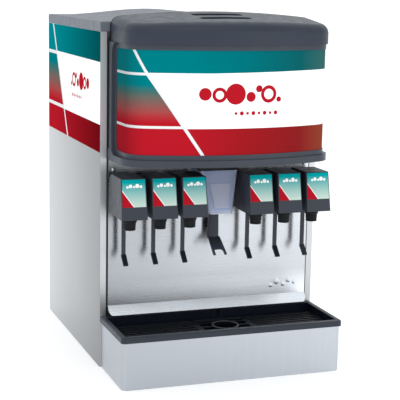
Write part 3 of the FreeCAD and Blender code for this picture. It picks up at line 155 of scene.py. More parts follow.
# ---- material tools ----
class Look:
    """A material being built: its shader, and short calls for the nodes that feed it."""

    def __init__(self, material):
        self.material = material
        self.tree = material.node_tree
        self.shader = self.tree.nodes["Principled BSDF"]
        self.place = self.node("TexCoord").outputs["Object"]

    @classmethod
    def new(cls, name, colour, roughness, sockets=None):
        material = bpy.data.materials.new(name)
        material.use_nodes = True
        look = cls(material)
        look.dress({"Base Color": (*colour, 1), "Roughness": roughness})
        look.dress(sockets or {})
        return look

    def feed(self, target, sockets):
        for key, value in sockets.items():
            if isinstance(value, bpy.types.NodeSocket):
                self.tree.links.new(value, target.inputs[key])
            else:
                target.inputs[key].default_value = value

    def dress(self, sockets):
        """Sets or links the shader's own sockets."""
        self.feed(self.shader, sockets)

    def node(self, kind, sockets=None, **settings):
        made = self.tree.nodes.new("ShaderNode" + kind)
        for key, value in settings.items():
            setattr(made, key, value)
        self.feed(made, sockets or {})
        return made

    def math(self, operation, *values):
        return self.node("Math", dict(enumerate(values)), operation=operation).outputs[0]

    def spread(self, value, low, high, start=0.0, end=1.0):
        """Maps start..end of value to low..high."""
        sockets = {"Value": value, "From Min": start, "From Max": end, "To Min": low, "To Max": high}
        return self.node("MapRange", sockets).outputs[0]

    def mix(self, factor, first, second):
        """A colour between two, each a colour or another node's output."""
        first, second = (c if isinstance(c, bpy.types.NodeSocket) else (*c, 1) for c in (first, second))
        return self.node("Mix", {0: factor, 6: first, 7: second}, data_type="RGBA").outputs[2]

    def ramp(self, value, stops):
        """A colour ramp from (position, colour) pairs."""
        made = self.node("ValToRGB", {0: value})
        elements = made.color_ramp.elements
        for position, colour in stops[2:]:
            elements.new(position)
        for element, (position, colour) in zip(elements, stops):
            element.position = position
            element.color = (*colour, 1)
        return made.outputs[0]

    def noise(self, scale, detail=2.0, stretch=(1, 1, 1)):
        mapped = self.node("Mapping", {"Vector": self.place, "Scale": stretch}).outputs[0]
        return self.node("TexNoise", {"Vector": mapped, "Scale": scale, "Detail": detail}).outputs[0]

    def wander(self, noise, low, high):
        """Maps a noise, which mostly stays within 0.3..0.7, to low..high."""
        return self.spread(noise, low, high, 0.3, 0.7)

    def uneven(self, low, high, scale, detail=2.0, stretch=(1, 1, 1)):
        """A value that wanders between low and high over the surface."""
        return self.wander(self.noise(scale, detail, stretch), low, high)

    def mottle(self, scale, detail, first, second):
        """A colour that wanders between two."""
        return self.mix(self.noise(scale, detail), first, second)

    def bump(self, height, depth):
        relief = self.node("Bump", {"Height": height, "Distance": depth})
        self.dress({"Normal": relief.outputs[0]})

    def axes(self):
        """The object coordinates as three values."""
        return self.node("SeparateXYZ", {0: self.place}).outputs

    def near(self, value, middle, reach):
        """1 where value is within reach of middle, else 0."""
        return self.math("COMPARE", value, middle, reach)

    def between(self, value, low, high):
        return self.near(value, (low + high) / 2, (high - low) / 2)

    def both(self, first, second):
        return self.math("MULTIPLY", first, second)

    def either(self, *masks):
        total = masks[0]
        for mask in masks[1:]:
            total = self.math("MAXIMUM", total, mask)
        return total

    def disc(self, across, height, centre, radius):
        """1 inside a round spot of the (across, height) plane."""
        dx = self.math("SUBTRACT", across, centre[0])
        dz = self.math("SUBTRACT", height, centre[1])
        square = self.math("ADD", self.both(dx, dx), self.both(dz, dz))
        return self.math("LESS_THAN", square, radius * radius)


def shade(colour, factor):
    return tuple(value * factor for value in colour)


# ---- materials ----
def moulded(name, colour, roughness, depth=0.03 * MM, grain=1100.0, variation=0.06, specular=0.3):
    """Moulded plastic: a fine eroded texture, a faint mottle and handling marks in the gloss."""
    look = Look.new(name, colour, roughness, {"Specular IOR Level": specular})
    mottle = look.uneven(0.0, 1.0, 11.0, 4.0)
    tone = look.mix(mottle, shade(colour, 1 - variation), shade(colour, 1 + variation))
    marks = look.uneven(roughness - 0.06, roughness + 0.08, 45.0, 5.0)
    look.dress({"Base Color": tone, "Roughness": marks})
    look.bump(look.noise(grain, 3.0), depth)
    return look.material


def brushed(name, tone, roughness, grain_axis, smear_axis, anisotropy, painted_shade=None, least=1.0):
    """Brushed stainless sheet: fine lines along grain_axis, reflections smeared along smear_axis.

    painted_shade takes the look and gives how much painted shade the sheet carries there: at 1 it
    keeps the least share of its tone.
    """
    look = Look.new(name, tone, roughness, {"Metallic": 1.0, "Anisotropic": anisotropy})
    along = [1.0, 1.0, 1.0]
    along[grain_axis] = 0.006
    lines = look.noise(1500.0, 3.0, along)
    along[grain_axis] = 0.03
    streaks = look.uneven(0.0, 1.0, 120.0, 3.0, along)
    clouds = look.uneven(-0.015, 0.015, 2.6, 2.0)
    tint = look.mix(streaks, shade(tone, 0.98), shade(tone, 1.015))
    if painted_shade:
        tint = look.mix(painted_shade(look), tint, shade(tone, least))
    rough = look.math("ADD", look.wander(lines, roughness - 0.02, roughness + 0.02), clouds)
    tangent = [0.0, 0.0, 0.0]
    tangent[smear_axis] = 1.0
    direction = look.node("CombineXYZ", dict(enumerate(tangent))).outputs[0]
    look.dress({"Base Color": tint, "Roughness": rough, "Tangent": direction})
    look.bump(lines, 0.0005 * MM)
    return look.material


def side_steel():
    """Painted shade darkens the broad outer faces towards the front; folds and flanges keep their tone."""
    def painted_shade(look):
        x, y, _ = look.axes()
        on_face = look.near(look.math("ABSOLUTE", x), SIDE_X, 0.8 * MM)
        return look.both(on_face, look.spread(y, 1.0, 0.0, FRONT_Y, REAR_Y))

    return brushed("side_steel", srgb(197, 199, 202), 0.36, Z, Y, 0.55, painted_shade, 0.5)


def splash_steel():
    """Painted shade, darkest high on the left and least low on the right; the toe under the bend keeps its
    tone.
    """
    bend = SPLASH_LOW.z + TOE_RISE
    light_foot, light_head = bend + 8 * MM, bend + 62 * MM
    light_right = 80 * MM

    def painted_shade(look):
        x, _, z = look.axes()
        side = look.spread(x, 1.0, 0.8, SPLASH_LOW.x, 0.0)
        low = look.both(look.spread(z, 1.0, 0.0, light_foot, light_head),
                        look.spread(x, 0.2, 0.9, SPLASH_LOW.x, light_right))
        dark = look.both(side, look.math("SUBTRACT", 1.0, low))
        return look.both(look.math("GREATER_THAN", z, bend), dark)

    return brushed("splash_steel", srgb(242, 247, 254), 0.27, X, Z, 0.7, painted_shade, 0.5)


def housing_steel():
    """The tray's base, with painted shade darkening it towards the left."""
    def painted_shade(look):
        return look.spread(look.axes()[X], 1.0, 0.0, SPLASH_LOW.x, SPLASH_HIGH.x)

    return brushed("housing_steel", srgb(193, 198, 205), 0.34, Z, X, 0.5, painted_shade, 0.85)


def rear_steel():
    return brushed("rear_steel", srgb(196, 198, 201), 0.42, Z, X, 0.4)


def bright_steel():
    """Machined screws, pins, shafts and tubes."""
    tone = srgb(198, 199, 201)
    look = Look.new("bright_steel", tone, 0.24, {"Metallic": 1.0})
    turned = look.noise(900.0, 2.0, (1, 0.1, 1))
    look.dress({"Roughness": look.wander(turned, 0.16, 0.34)})
    look.dress({"Base Color": look.mix(turned, shade(tone, 0.9), tone)})
    look.bump(turned, 0.01 * MM)
    return look.material


def galvanised():
    """Zinc coat with its spangle."""
    look = Look.new("galvanised", srgb(175, 179, 182), 0.45, {"Metallic": 0.9})
    cells = look.node("TexVoronoi", {"Vector": look.place, "Scale": 90.0}).outputs["Color"]
    level = look.node("SeparateColor", {0: cells}).outputs[0]
    tone = look.mix(level, srgb(160, 165, 168), srgb(190, 193, 195))
    look.dress({"Base Color": tone, "Roughness": look.spread(level, 0.36, 0.55)})
    look.bump(look.noise(300.0, 3.0), 0.02 * MM)
    return look.material


def black_plate():
    """Powder coat with its orange peel."""
    look = Look.new("black_plate", srgb(26, 27, 29), 0.42)
    peel = look.noise(420.0, 2.0)
    look.dress({"Base Color": look.mottle(9.0, 3.0, srgb(20, 21, 23), srgb(32, 33, 36))})
    look.dress({"Roughness": look.wander(peel, 0.36, 0.5)})
    look.bump(peel, 0.06 * MM)
    return look.material


def shaded(material, mask, share):
    """Paints shade and light: multiplies a look's base colour by a share of red, green and blue where the
    look's mask is 1.
    """
    look = Look(material)
    base = look.shader.inputs["Base Color"].links[0].from_socket
    dark = look.node("Mix", {0: 1.0, 6: base, 7: (*share, 1)}, data_type="RGBA",
                     blend_type="MULTIPLY").outputs[2]
    look.dress({"Base Color": look.mix(mask(look), base, dark)})
    return material


def against_cabinet(look):
    """The sign's last strip before the cabinet: painted shadow standing for the black gap between them."""
    return look.math("GREATER_THAN", look.axes()[Y], FRONT_Y - GAP_STRIP)


def slate_plastic():
    base = moulded("slate_plastic", shade(SLATE, 0.76), 0.4, depth=0.03 * MM, grain=1300.0)
    # painted shadow on the strip against the cabinet
    return shaded(base, against_cabinet, GAP_SHADE)


def hood_plastic():
    base = moulded("hood_plastic", HOOD_SLATE, 0.4, depth=0.03 * MM, grain=1300.0)
    # painted shadow on the strip against the cabinet
    return shaded(base, against_cabinet, GAP_SHADE)


def cover_plastic():
    return moulded("cover_plastic", shade(SLATE, 0.62), 0.42, depth=0.03 * MM, grain=1300.0)


def lid_plastic():
    return moulded("lid_plastic", shade(LID_SLATE, 0.75), 0.46, depth=0.04 * MM, grain=900.0)


def tray_plastic():
    """The well inside the tray's rim is darkened with painted shade."""
    low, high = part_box("drip_tray")

    def well(look):
        x, y, z = look.axes()
        across = look.between(x, low.x + TRAY_RIM, high.x - TRAY_RIM)
        along = look.between(y, low.y + TRAY_RIM, high.y - TRAY_RIM)
        below = look.math("LESS_THAN", z, high.z - TRAY_RIM_DROP)
        return look.both(look.both(across, along), below)

    base = moulded("tray_plastic", shade(SLATE, 0.6), 0.38,
                   depth=0.03 * MM, grain=1200.0, variation=0.06, specular=0.2)
    return shaded(base, well, WELL_SHADE)


def rest_plastic():
    return moulded("rest_plastic", srgb(14, 18, 25), 0.3,
                   depth=0.02 * MM, grain=1500.0, variation=0.12, specular=0.13)


def black_plastic():
    return moulded("black_plastic", shade(NOZZLE_BLACK, 0.5), 0.42,
                   depth=0.02 * MM, grain=1400.0, variation=0.1, specular=0.2)


def lever_plastic():
    """The toe at a lever's lower end is darker than its shaft: painted shade on the angled toe."""
    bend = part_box("valve_lever_1")[0].z + LEVER_TOE_RISE

    def toe(look):
        return look.math("LESS_THAN", look.axes()[Z], bend)

    base = moulded("lever_plastic", shade(SLATE, 0.52), 0.34, depth=0.02 * MM, grain=1500.0)
    return shaded(base, toe, TOE_SHADE)


def ice_lever_plastic():
    """The fork is paler towards its tips: painted light, where it is lit from above."""
    tip_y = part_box("ice_lever")[0].y

    def tips(look):
        return look.spread(look.axes()[Y], 1.0, 0.0, tip_y, tip_y + FORK_REACH)

    base = moulded("ice_lever_plastic", shade(SLATE, 0.45), 0.34, depth=0.02 * MM, grain=1500.0)
    return shaded(base, tips, TIP_LIGHT)


def collar_plastic():
    return moulded("collar_plastic", srgb(70, 73, 80), 0.5)


def white_plastic():
    return moulded("white_plastic", srgb(232, 233, 230), 0.4,
                   depth=0.03 * MM, grain=800.0, variation=0.03)


def pipe_plastic():
    return moulded("pipe_plastic", srgb(214, 214, 209), 0.35,
                   depth=0.02 * MM, grain=500.0, variation=0.04)


def motor_paint():
    return moulded("motor_paint", srgb(44, 46, 50), 0.3,
                   depth=0.05 * MM, grain=350.0, variation=0.1)


def white_paint():
    return moulded("white_paint", srgb(236, 236, 232), 0.3,
                   depth=0.03 * MM, grain=400.0, variation=0.02)


def seal_rubber():
    return moulded("seal_rubber", srgb(34, 34, 36), 0.8,
                   depth=0.12 * MM, grain=700.0, variation=0.15)


def foam():
    """Poured foam: small cells and a yellowing skin."""
    look = Look.new("foam", srgb(222, 202, 148), 0.9)
    cells = look.node("TexVoronoi", {"Vector": look.place, "Scale": 500.0}).outputs["Distance"]
    look.dress({"Base Color": look.mottle(6.0, 4.0, srgb(206, 180, 120), srgb(230, 214, 166))})
    look.bump(cells, 0.3 * MM)
    return look.material


def cast_plate():
    """Sand-cast aluminium."""
    look = Look.new("cast_plate", srgb(190, 192, 194), 0.5, {"Metallic": 1.0})
    sand = look.noise(600.0, 4.0)
    look.dress({"Roughness": look.wander(sand, 0.42, 0.62)})
    look.dress({"Base Color": look.mottle(20.0, 3.0, srgb(176, 178, 181), srgb(204, 205, 206))})
    look.bump(sand, 0.25 * MM)
    return look.material


def lamp_glass():
    """Frosted tube, softly lit."""
    glow = {"Emission Color": (1, 1, 1, 1), "Emission Strength": 0.4}
    look = Look.new("lamp_glass", WHITE, 0.5, glow)
    look.dress({"Base Color": look.mottle(60.0, 2.0, srgb(232, 235, 238), WHITE)})
    look.bump(look.noise(900.0), 0.01 * MM)
    return look.material


def clear_plastic():
    """Clear moulding: faintly blue, with painted highlights down its corners, paler round its mouth, finely
    scratched.
    """
    look = Look.new("clear_plastic", CLEAR_BLUE, 0.14, {"IOR": 1.35})
    x, _, z = look.axes()
    half = look.spread(z, CHUTE_MOUTH_HALF, CHUTE_HIGH.x, CHUTE_LOW.z, CHUTE_HIGH.z)
    share = look.math("DIVIDE", look.math("ABSOLUTE", x), half)
    corners = look.spread(share, 0.0, 1.0, 0.78, 0.95)
    mouth = look.spread(z, 0.8, 0.0, CHUTE_LOW.z + 7 * MM, CHUTE_LOW.z + 10 * MM)
    # the paler places: painted highlights down the corners, and the mouth's thick lip
    thick = look.either(corners, mouth)
    body = look.mottle(18.0, 2.0, shade(CLEAR_BLUE, 0.93), CLEAR_BLUE)
    scratches = look.noise(260.0, 4.0, (1, 1, 0.08))
    look.dress({"Base Color": look.mix(thick, body, CLEAR_PALE)})
    look.dress({"Transmission Weight": look.spread(thick, 0.6, 0.45)})
    look.dress({"Roughness": look.spread(scratches, 0.06, 0.2, 0.35, 0.7)})
    look.bump(scratches, 0.02 * MM)
    return look.material


def clear_panel():
    """The paler raised panel on the chute's front."""
    look = Look.new("clear_panel", CLEAR_PALE, 0.2, {"IOR": 1.3, "Transmission Weight": 0.55})
    body = look.mottle(30.0, 3.0, shade(CLEAR_PALE, 0.85), CLEAR_PALE)
    look.dress({"Base Color": body})
    look.dress({"Roughness": look.spread(look.noise(260.0, 4.0), 0.12, 0.26, 0.35, 0.7)})
    look.bump(look.noise(200.0, 3.0, (1, 1, 0.1)), 0.02 * MM)
    return look.material


def highlight_bead():
    """Polished dark grey bead that catches the light, its grey lightened as painted highlight for the
    ring's bright arcs.
    """
    look = Look.new("highlight_bead", srgb(84, 87, 91), 0.12, {"Specular IOR Level": 0.8})
    look.dress({"Base Color": look.mottle(60.0, 2.0, srgb(76, 79, 83), srgb(96, 99, 103))})
    look.bump(look.noise(900.0), 0.005 * MM)
    return look.material


def band_colours(look, across, height, white, thin, foot, lean, line_width, teal, red):
    """Teal over white over red, cut by a slanted white line.

    Beyond the line, away from the plain side, thin stripes frame a block that runs from teal to red.
    """
    height_share = look.spread(height, 0.0, 1.0, white[0], white[1])
    block = look.ramp(height_share, BLOCK_STOPS)
    travel = look.math("MULTIPLY", look.math("SUBTRACT", height, foot[1]), lean)
    beyond = look.math("SUBTRACT", across, look.math("ADD", foot[0], travel))
    on_line = look.near(beyond, 0.0, line_width / 2)
    past_line = look.math("LESS_THAN" if lean < 0 else "GREATER_THAN", beyond, 0.0)
    framed = look.both(look.math("GREATER_THAN", height, white[0] + thin),
                       look.math("LESS_THAN", height, look.math("SUBTRACT", white[1], thin)))
    in_block = look.both(past_line, framed)
    band = look.mix(past_line, WHITE, LINE_WHITE)
    colour = look.mix(look.math("GREATER_THAN", height, white[1]), band, teal)
    colour = look.mix(look.math("LESS_THAN", height, white[0]), colour, red)
    colour = look.mix(in_block, colour, block)
    return look.mix(on_line, colour, LINE_WHITE)


def bubble_mask(look, across, height, middle, foot, size):
    """A generic row of discs and rings with a shorter row of dots below it; size is the tallest disc."""
    dots = [(-0.2 + 0.3 * i, -0.42, 0.07 + 0.03 * (i % 2), 0) for i in range(8)]
    mask = 0.0
    for a, h, radius, hole in BUBBLE_ROW + dots:
        centre = (middle + a * size, foot + h * size)
        spot = look.disc(across, height, centre, radius * size)
        if hole:
            spot = look.math("SUBTRACT", spot, look.disc(across, height, centre, hole * size))
        mask = look.math("MAXIMUM", mask, spot)
    return mask


def sign_graphic():
    """Printed, back-lit sign sheet."""
    look = Look.new("sign_graphic", WHITE, 0.32, {"IOR": PRINT_IOR})
    x, y, z = look.axes()
    right = look.spread(x, 0.0, 1.0, *SIGN_FADE_X)
    teal, red = look.ramp(right, SIGN_TEALS), look.ramp(right, SIGN_REDS)
    lift = look.spread(x, 0.0, SIGN_LIFT, SIGN_LIFT_START, SIDE_X)
    white_high = look.math("ADD", SIGN_WHITE[1], lift)
    round_corner = look.math("MAXIMUM", look.math("SUBTRACT", y, SIGN_CORNER_Y), 0.0)
    across = look.math("ADD", x, look.both(look.math("SIGN", x), look.both(round_corner, SIGN_WRAP)))
    bands = band_colours(look, across, z, (SIGN_WHITE[0], white_high), SIGN_THIN, SIGN_LINE_FOOT,
                         SIGN_LINE_LEAN, SIGN_LINE_WIDTH, teal, red)
    colour = look.mix(bubble_mask(look, x, z, *SIGN_SYMBOL), bands, RED)
    # painted shade on the sign's left end, deepening round its corner
    end_share, end_reach = SIGN_END_SHADE
    left_end = look.both(look.math("LESS_THAN", x, 0.0),
                         look.spread(round_corner, 0.0, end_share, 0.0, end_reach))
    colour = look.mix(left_end, colour, NEAR_BLACK)
    look.dress({"Base Color": colour, "Emission Color": colour, "Emission Strength": 0.12})
    look.dress({"Roughness": look.uneven(0.26, 0.4, 30.0, 3.0)})
    look.bump(look.noise(500.0, 2.0), 0.006 * MM)
    return look.material


def side_graphic():
    """Printed vinyl on the upper sides of the cabinet; depth runs back from the front edge."""
    look = Look.new("side_graphic", WHITE, 0.38, {"IOR": PRINT_IOR})
    _, y, z = look.axes()
    depth = look.math("SUBTRACT", y, FRONT_Y)
    # painted shade on the side's bands, darkest at the front edge
    dim = look.spread(depth, 1.0, 0.0, *SIDE_FADE)
    teal = look.mix(dim, SIDE_TEAL, shade(SIDE_TEAL, SIDE_FRONT_SHADE))
    red = look.mix(dim, RED, shade(RED, SIDE_FRONT_SHADE))
    bands = band_colours(look, depth, z, SIDE_WHITE, SIDE_THIN, SIDE_LINE_FOOT, SIDE_LINE_LEAN,
                         SIDE_LINE_WIDTH, teal, red)
    symbol = bubble_mask(look, depth, z, *SIDE_SYMBOL)
    look.dress({"Base Color": look.mix(symbol, bands, RED)})
    look.dress({"Roughness": look.uneven(0.32, 0.46, 40.0, 3.0)})
    look.bump(look.noise(800.0, 2.0), 0.01 * MM)
    return look.material


def card_graphic(size):
    """Flavour card: teal fading down to pale green, a red corner under a slanted line, and bubbles."""
    look = Look.new("card_graphic", WHITE, 0.3, {"IOR": PRINT_IOR})
    x, _, z = look.axes()
    right = look.spread(x, 0.0, 1.0, -size.x / 2, size.x / 2)
    up = look.spread(z, 0.0, 1.0, -size.z / 2, size.z / 2)
    fade = look.ramp(up, [(0.05, CARD_LOW), (0.9, CARD_TOP)])
    fall = look.math("MULTIPLY", right, CARD_LINE_TOP / CARD_LINE_FOOT)
    line = look.math("ADD", look.math("SUBTRACT", up, CARD_LINE_TOP), fall)
    colour = look.mix(look.math("LESS_THAN", line, 0.0), fade, RED)
    colour = look.mix(look.near(line, 0.0, CARD_LINE_HALF), colour, WHITE)
    bubbles = [look.disc(x, z, (a * MM, h * MM), r * MM) for a, h, r in CARD_BUBBLES]
    colour = look.mix(look.either(*bubbles), colour, WHITE)
    look.dress({"Base Color": colour})
    look.dress({"Roughness": look.uneven(0.24, 0.38, 120.0)})
    look.bump(look.noise(900.0, 2.0), 0.006 * MM)
    return look.material


def floor_white():
    """Pale studio floor."""
    glow = {"Emission Color": (1, 1, 1, 1), "Emission Strength": 0.27}
    look = Look.new("floor_white", WHITE, 0.85, glow)
    look.dress({"Base Color": look.mottle(0.6, 3.0, srgb(247, 247, 247), srgb(250, 250, 250))})
    look.bump(look.noise(200.0, 3.0), 0.02 * MM)
    return look.material


SLOT_LOOKS = {
    "stainless": side_steel, "rear_steel": rear_steel, "galvanised": galvanised, "black_plate": black_plate,
    "slate_plastic": slate_plastic, "lid_plastic": lid_plastic, "sign_graphic": sign_graphic,
    "white_paint": white_paint, "lamp_glass": lamp_glass, "white_plastic": white_plastic, "foam": foam,
    "cast_plate": cast_plate, "collar_plastic": collar_plastic, "seal_rubber": seal_rubber,
    "screw_steel": bright_steel, "tray_plastic": tray_plastic, "rest_plastic": rest_plastic,
    "pipe_plastic": pipe_plastic, "motor_paint": motor_paint, "black_plastic": black_plastic,
    "clear_plastic": clear_plastic, "cover_plastic": cover_plastic, "lever_plastic": lever_plastic,
}
NODE_LOOKS = {
    "splash_panel": splash_steel, "tray_housing": housing_steel, "hood": hood_plastic,
    "ice_lever": ice_lever_plastic,
}

SLOTTED = ("cup_rest_left", "cup_rest_right", "cup_rest_centre")    # softened without flattening

# how far each CAD node's hard edges are rounded, in mm
ROUNDING = {
    "right_side_panel": 0.5, "left_side_panel": 0.5, "splash_panel": 0.5, "tray_housing": 0.6,
    "hood": 1.2, "sign_frame": 1.5, "bin_lid": 1.0, "drip_tray": 1.0, "ice_chute": 0.7, "ice_lever": 0.9,
    "cup_rest_left": 1.2, "cup_rest_right": 1.2, "cup_rest_centre": 1.2, "ice_throat": 0.8,
    "mounting_blocks": 1.0, "valve_bodies": 0.6, "ice_lever_bracket": 0.4, "agitator_motor": 1.0,
    "top_collar": 0.6, "cold_plate": 1.5, "paddle_wheel": 0.6, "inlet_fittings": 0.4, "gate_solenoid": 0.8,
}


# ---- mesh tools ----
WELD_REACH = 0.01 * MM
FLAT_ANGLE = math.radians(0.3)
HARD_ANGLE = math.radians(28)


def piece(name, mesh, body, material):
    """A new object of the machine that rides on a body."""
    made = bpy.data.objects.new(name, mesh)
    bpy.context.scene.collection.objects.link(made)
    mesh.materials.append(material)
    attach(made, body)
    return made


def finished_mesh(name, shape, smooth=True):
    """Turns a bmesh into mesh data with outward faces."""
    bmesh.ops.recalc_face_normals(shape, faces=shape.faces)
    mesh = bpy.data.meshes.new(name)
    shape.to_mesh(mesh)
    shape.free()
    for polygon in mesh.polygons:
        polygon.use_smooth = smooth
    return mesh


def soften(made, width, segments=2, flatten=True):
    """Rounds an object's hard edges with modifiers, which leave its own mesh as it is.

    Flattening first joins the triangles of each plane; a plane with many slots keeps its triangles.
    """
    weld = made.modifiers.new("weld", "WELD")
    weld.merge_threshold = WELD_REACH
    if flatten:
        flat = made.modifiers.new("flat", "DECIMATE")
        flat.decimate_type = "DISSOLVE"
        flat.angle_limit = FLAT_ANGLE
    edge = made.modifiers.new("edge", "BEVEL")
    edge.width = width
    edge.segments = segments
    edge.limit_method = "ANGLE"
    edge.angle_limit = HARD_ANGLE
    normals = made.modifiers.new("normals", "WEIGHTED_NORMAL")
    normals.keep_sharp = True
    normals.weight = 80


def bridge(shape, rings):
    """Joins rings of vertices, each as long as the last, into a closed-round wall."""
    for lower, upper in zip(rings, rings[1:]):
        count = len(lower)
        for i in range(count):
            shape.faces.new((lower[i], lower[(i + 1) % count], upper[(i + 1) % count], upper[i]))


def rounded_outline(half, y, radius, z, steps=6):
    """Points of a rounded rectangle at height z, x = +-half and y = (low, high)."""
    points = []
    corners = [(half - radius, y[1] - radius), (radius - half, y[1] - radius),
               (radius - half, y[0] + radius), (half - radius, y[0] + radius)]
    for quarter, (cx, cy) in enumerate(corners):
        for step in range(steps + 1):
            turn = math.pi / 2 * (quarter + step / steps)
            points.append(Vector((cx + radius * math.cos(turn), cy + radius * math.sin(turn), z)))
    return points


def level_box(node, z_low, z_high):
    """(lowest, highest) corner of the part of a CAD node between two heights."""
    points = [v.co for v in frame["nodes"][node].data.vertices if z_low <= v.co.z <= z_high]
    low = Vector([min(p[axis] for p in points) for axis in range(3)])
    high = Vector([max(p[axis] for p in points) for axis in range(3)])
    return low, high


def islands(node):
    """The separate solids of a CAD node from left to right, each as (middle, bmesh about that middle)."""
    source = bmesh.new()
    source.from_mesh(frame["nodes"][node].data)
    bmesh.ops.remove_doubles(source, verts=source.verts, dist=WELD_REACH)
    waiting = set(source.faces)
    found = []
    while waiting:
        group = {min(waiting, key=attrgetter("index"))}
        edge_of_group = set(group)
        while edge_of_group:
            neighbours = {f for face in edge_of_group for edge in face.edges for f in edge.link_faces}
            edge_of_group = neighbours - group
            group |= edge_of_group
        waiting -= group
        corners = sorted({v for face in group for v in face.verts}, key=attrgetter("index"))
        low = Vector([min(v.co[axis] for v in corners) for axis in range(3)])
        high = Vector([max(v.co[axis] for v in corners) for axis in range(3)])
        middle = (low + high) / 2
        copy = bmesh.new()
        made = {v: copy.verts.new(v.co - middle) for v in corners}
        for face in sorted(group, key=attrgetter("index")):
            copy.faces.new([made[v] for v in face.verts])
        found.append((middle, copy))
    source.free()
    return sorted(found, key=lambda item: item[0].x)


# ---- CAD nodes that stay ----
def dress_cad_nodes():
    """Gives every CAD node its material and rounds the edges of those that show."""
    made = {slot: build() for slot, build in SLOT_LOOKS.items()}
    for part in frame["record"]["subparts"]:
        node = frame["nodes"][part["node"]]
        slot = part["material_slot"]
        if slot not in made:      # the cards' slot: flavour_cards draws and dresses them
            continue
        build = NODE_LOOKS.get(part["node"])
        node.material_slots[0].material = build() if build else made[slot]
    for name, width in ROUNDING.items():
        soften(frame["nodes"][name], width * MM, flatten=name not in SLOTTED)
    for number in VALVES:
        soften(frame["nodes"]["valve_cover_%d" % number], 1.1 * MM, 3)
        soften(frame["nodes"]["valve_lever_%d" % number], 1.0 * MM)
    return made


# ---- new pieces ----
def side_graphics(material):
    """Thin printed vinyl on each side panel, from just behind the front fold to the rear edge."""
    thick = 0.18 * MM
    inset = 1.4 * MM
    y = (FRONT_Y + inset, REAR_Y - inset)
    z = (SIDE_PRINT_LOW, PANEL_TOP - 0.6 * MM)
    radius = 2 * MM
    for side, name in ((-1, "side_graphic_left"), (1, "side_graphic_right")):
        shape = bmesh.new()
        outline = []
        for point in rounded_outline((y[1] - y[0]) / 2, z, radius, 0.0):
            outline.append((side * SIDE_X, point.x + (y[0] + y[1]) / 2, point.y))
        inner = [shape.verts.new(p) for p in outline]
        outer = [shape.verts.new((p[0] + side * thick, p[1], p[2])) for p in outline]
        bridge(shape, [inner, outer])
        shape.faces.new(outer)
        shape.faces.new(list(reversed(inner)))
        mesh = finished_mesh(name, shape, False)
        piece(name, mesh, "cabinet", material)


def flavour_cards():
    """Six printed cards on the valve covers."""
    material = None
    for number, (middle, shape) in enumerate(islands("valve_labels"), 1):
        name = "flavour_card_%d" % number
        mesh = finished_mesh(name, shape, False)
        if material is None:
            size = Vector([max(v.co[axis] for v in mesh.vertices) * 2 for axis in range(3)])
            material = card_graphic(size)
        made = bpy.data.objects.new(name, mesh)
        made.location = middle
        bpy.context.scene.collection.objects.link(made)
        mesh.materials.append(material)
        soften(made, 0.25 * MM)
        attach(made, "cabinet")
        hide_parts("valve_labels")


def nozzle_profile(low, high):
    """(radius in mm, height in metres, flute depth in mm), from the collar's top down and up the bore."""
    outside = [
        (11.2, high, 0.0), (15.8, high, 0.0), (16.4, high - 0.6 * MM, 0.7), (16.4, high - 6.6 * MM, 0.7),
        (15.4, high - 7.4 * MM, 0.0), (14.2, high - 8.2 * MM, 0.0), (14.5, high - 9.2 * MM, 0.8),
        (13.6, low + 5.5 * MM, 0.8), (13.0, low + 4.4 * MM, 0.0), (13.9, low + 3.6 * MM, 0.0),
        (13.9, low + 0.8 * MM, 0.0), (13.2, low, 0.0),
    ]
    bore = [
        (10.6, low, 0.0), (10.3, low + 0.6 * MM, 0.0),
        (10.6, high - 9 * MM, 0.0), (8.0, high - 9 * MM, 0.0),
    ]
    return outside + bore


def fluted_nozzles(material):
    """Six black outlet cones with a ribbed collar and flutes down the skirt."""
    flutes, steps = 30, 6
    count = flutes * steps
    for number, (middle, rough) in enumerate(islands("nozzles"), 1):
        half_height = max(v.co.z for v in rough.verts)
        rough.free()
        shape = bmesh.new()
        rings = []
        for radius, z, depth in nozzle_profile(-half_height, half_height):
            ring = []
            for i in range(count):
                turn = 2 * math.pi * i / count
                r = (radius - depth * (0.5 + 0.5 * math.cos(flutes * turn))) * MM
                ring.append(shape.verts.new((r * math.cos(turn), r * math.sin(turn), z)))
            rings.append(ring)
        bridge(shape, rings)
        shape.faces.new(rings[-1])
        name = "fluted_nozzle_%d" % number
        mesh = finished_mesh(name, shape)
        mesh.transform(Matrix.Translation(middle))
        made = piece(name, mesh, "cabinet", material)
        soften(made, 0.12 * MM, 1)
        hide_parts("nozzles")


def lathe_ring(shape, centre, radius, tube, flatten=1.0, turns=96, steps=12):
    """A round bead about a vertical axis."""
    rings = []
    for i in range(turns):
        turn = 2 * math.pi * i / turns
        ring = []
        for j in range(steps):
            roll = 2 * math.pi * j / steps
            reach = radius + tube * math.cos(roll)
            rise = tube * flatten * math.sin(roll)
            offset = Vector((reach * math.cos(turn), reach * math.sin(turn), rise))
            ring.append(shape.verts.new(centre + offset))
        rings.append(ring)
    bridge(shape, rings + rings[:1])


def cup_ring_bead():
    """Raised bead on the middle rest's ring, which centres the cup."""
    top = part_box("cup_rest_centre")[1].z
    ring_low, ring_high = level_box("cup_rest_centre", top - 0.1 * MM, top + 0.1 * MM)
    centre = (ring_low + ring_high) / 2
    shape = bmesh.new()
    outer = (ring_high.x - ring_low.x) / 2
    lathe_ring(shape, Vector((centre.x, centre.y, top)), outer - 2.2 * MM, 0.9 * MM, 0.8)
    mesh = finished_mesh("cup_ring_bead", shape)
    piece("cup_ring_bead", mesh, "cup_rest_centre", highlight_bead())


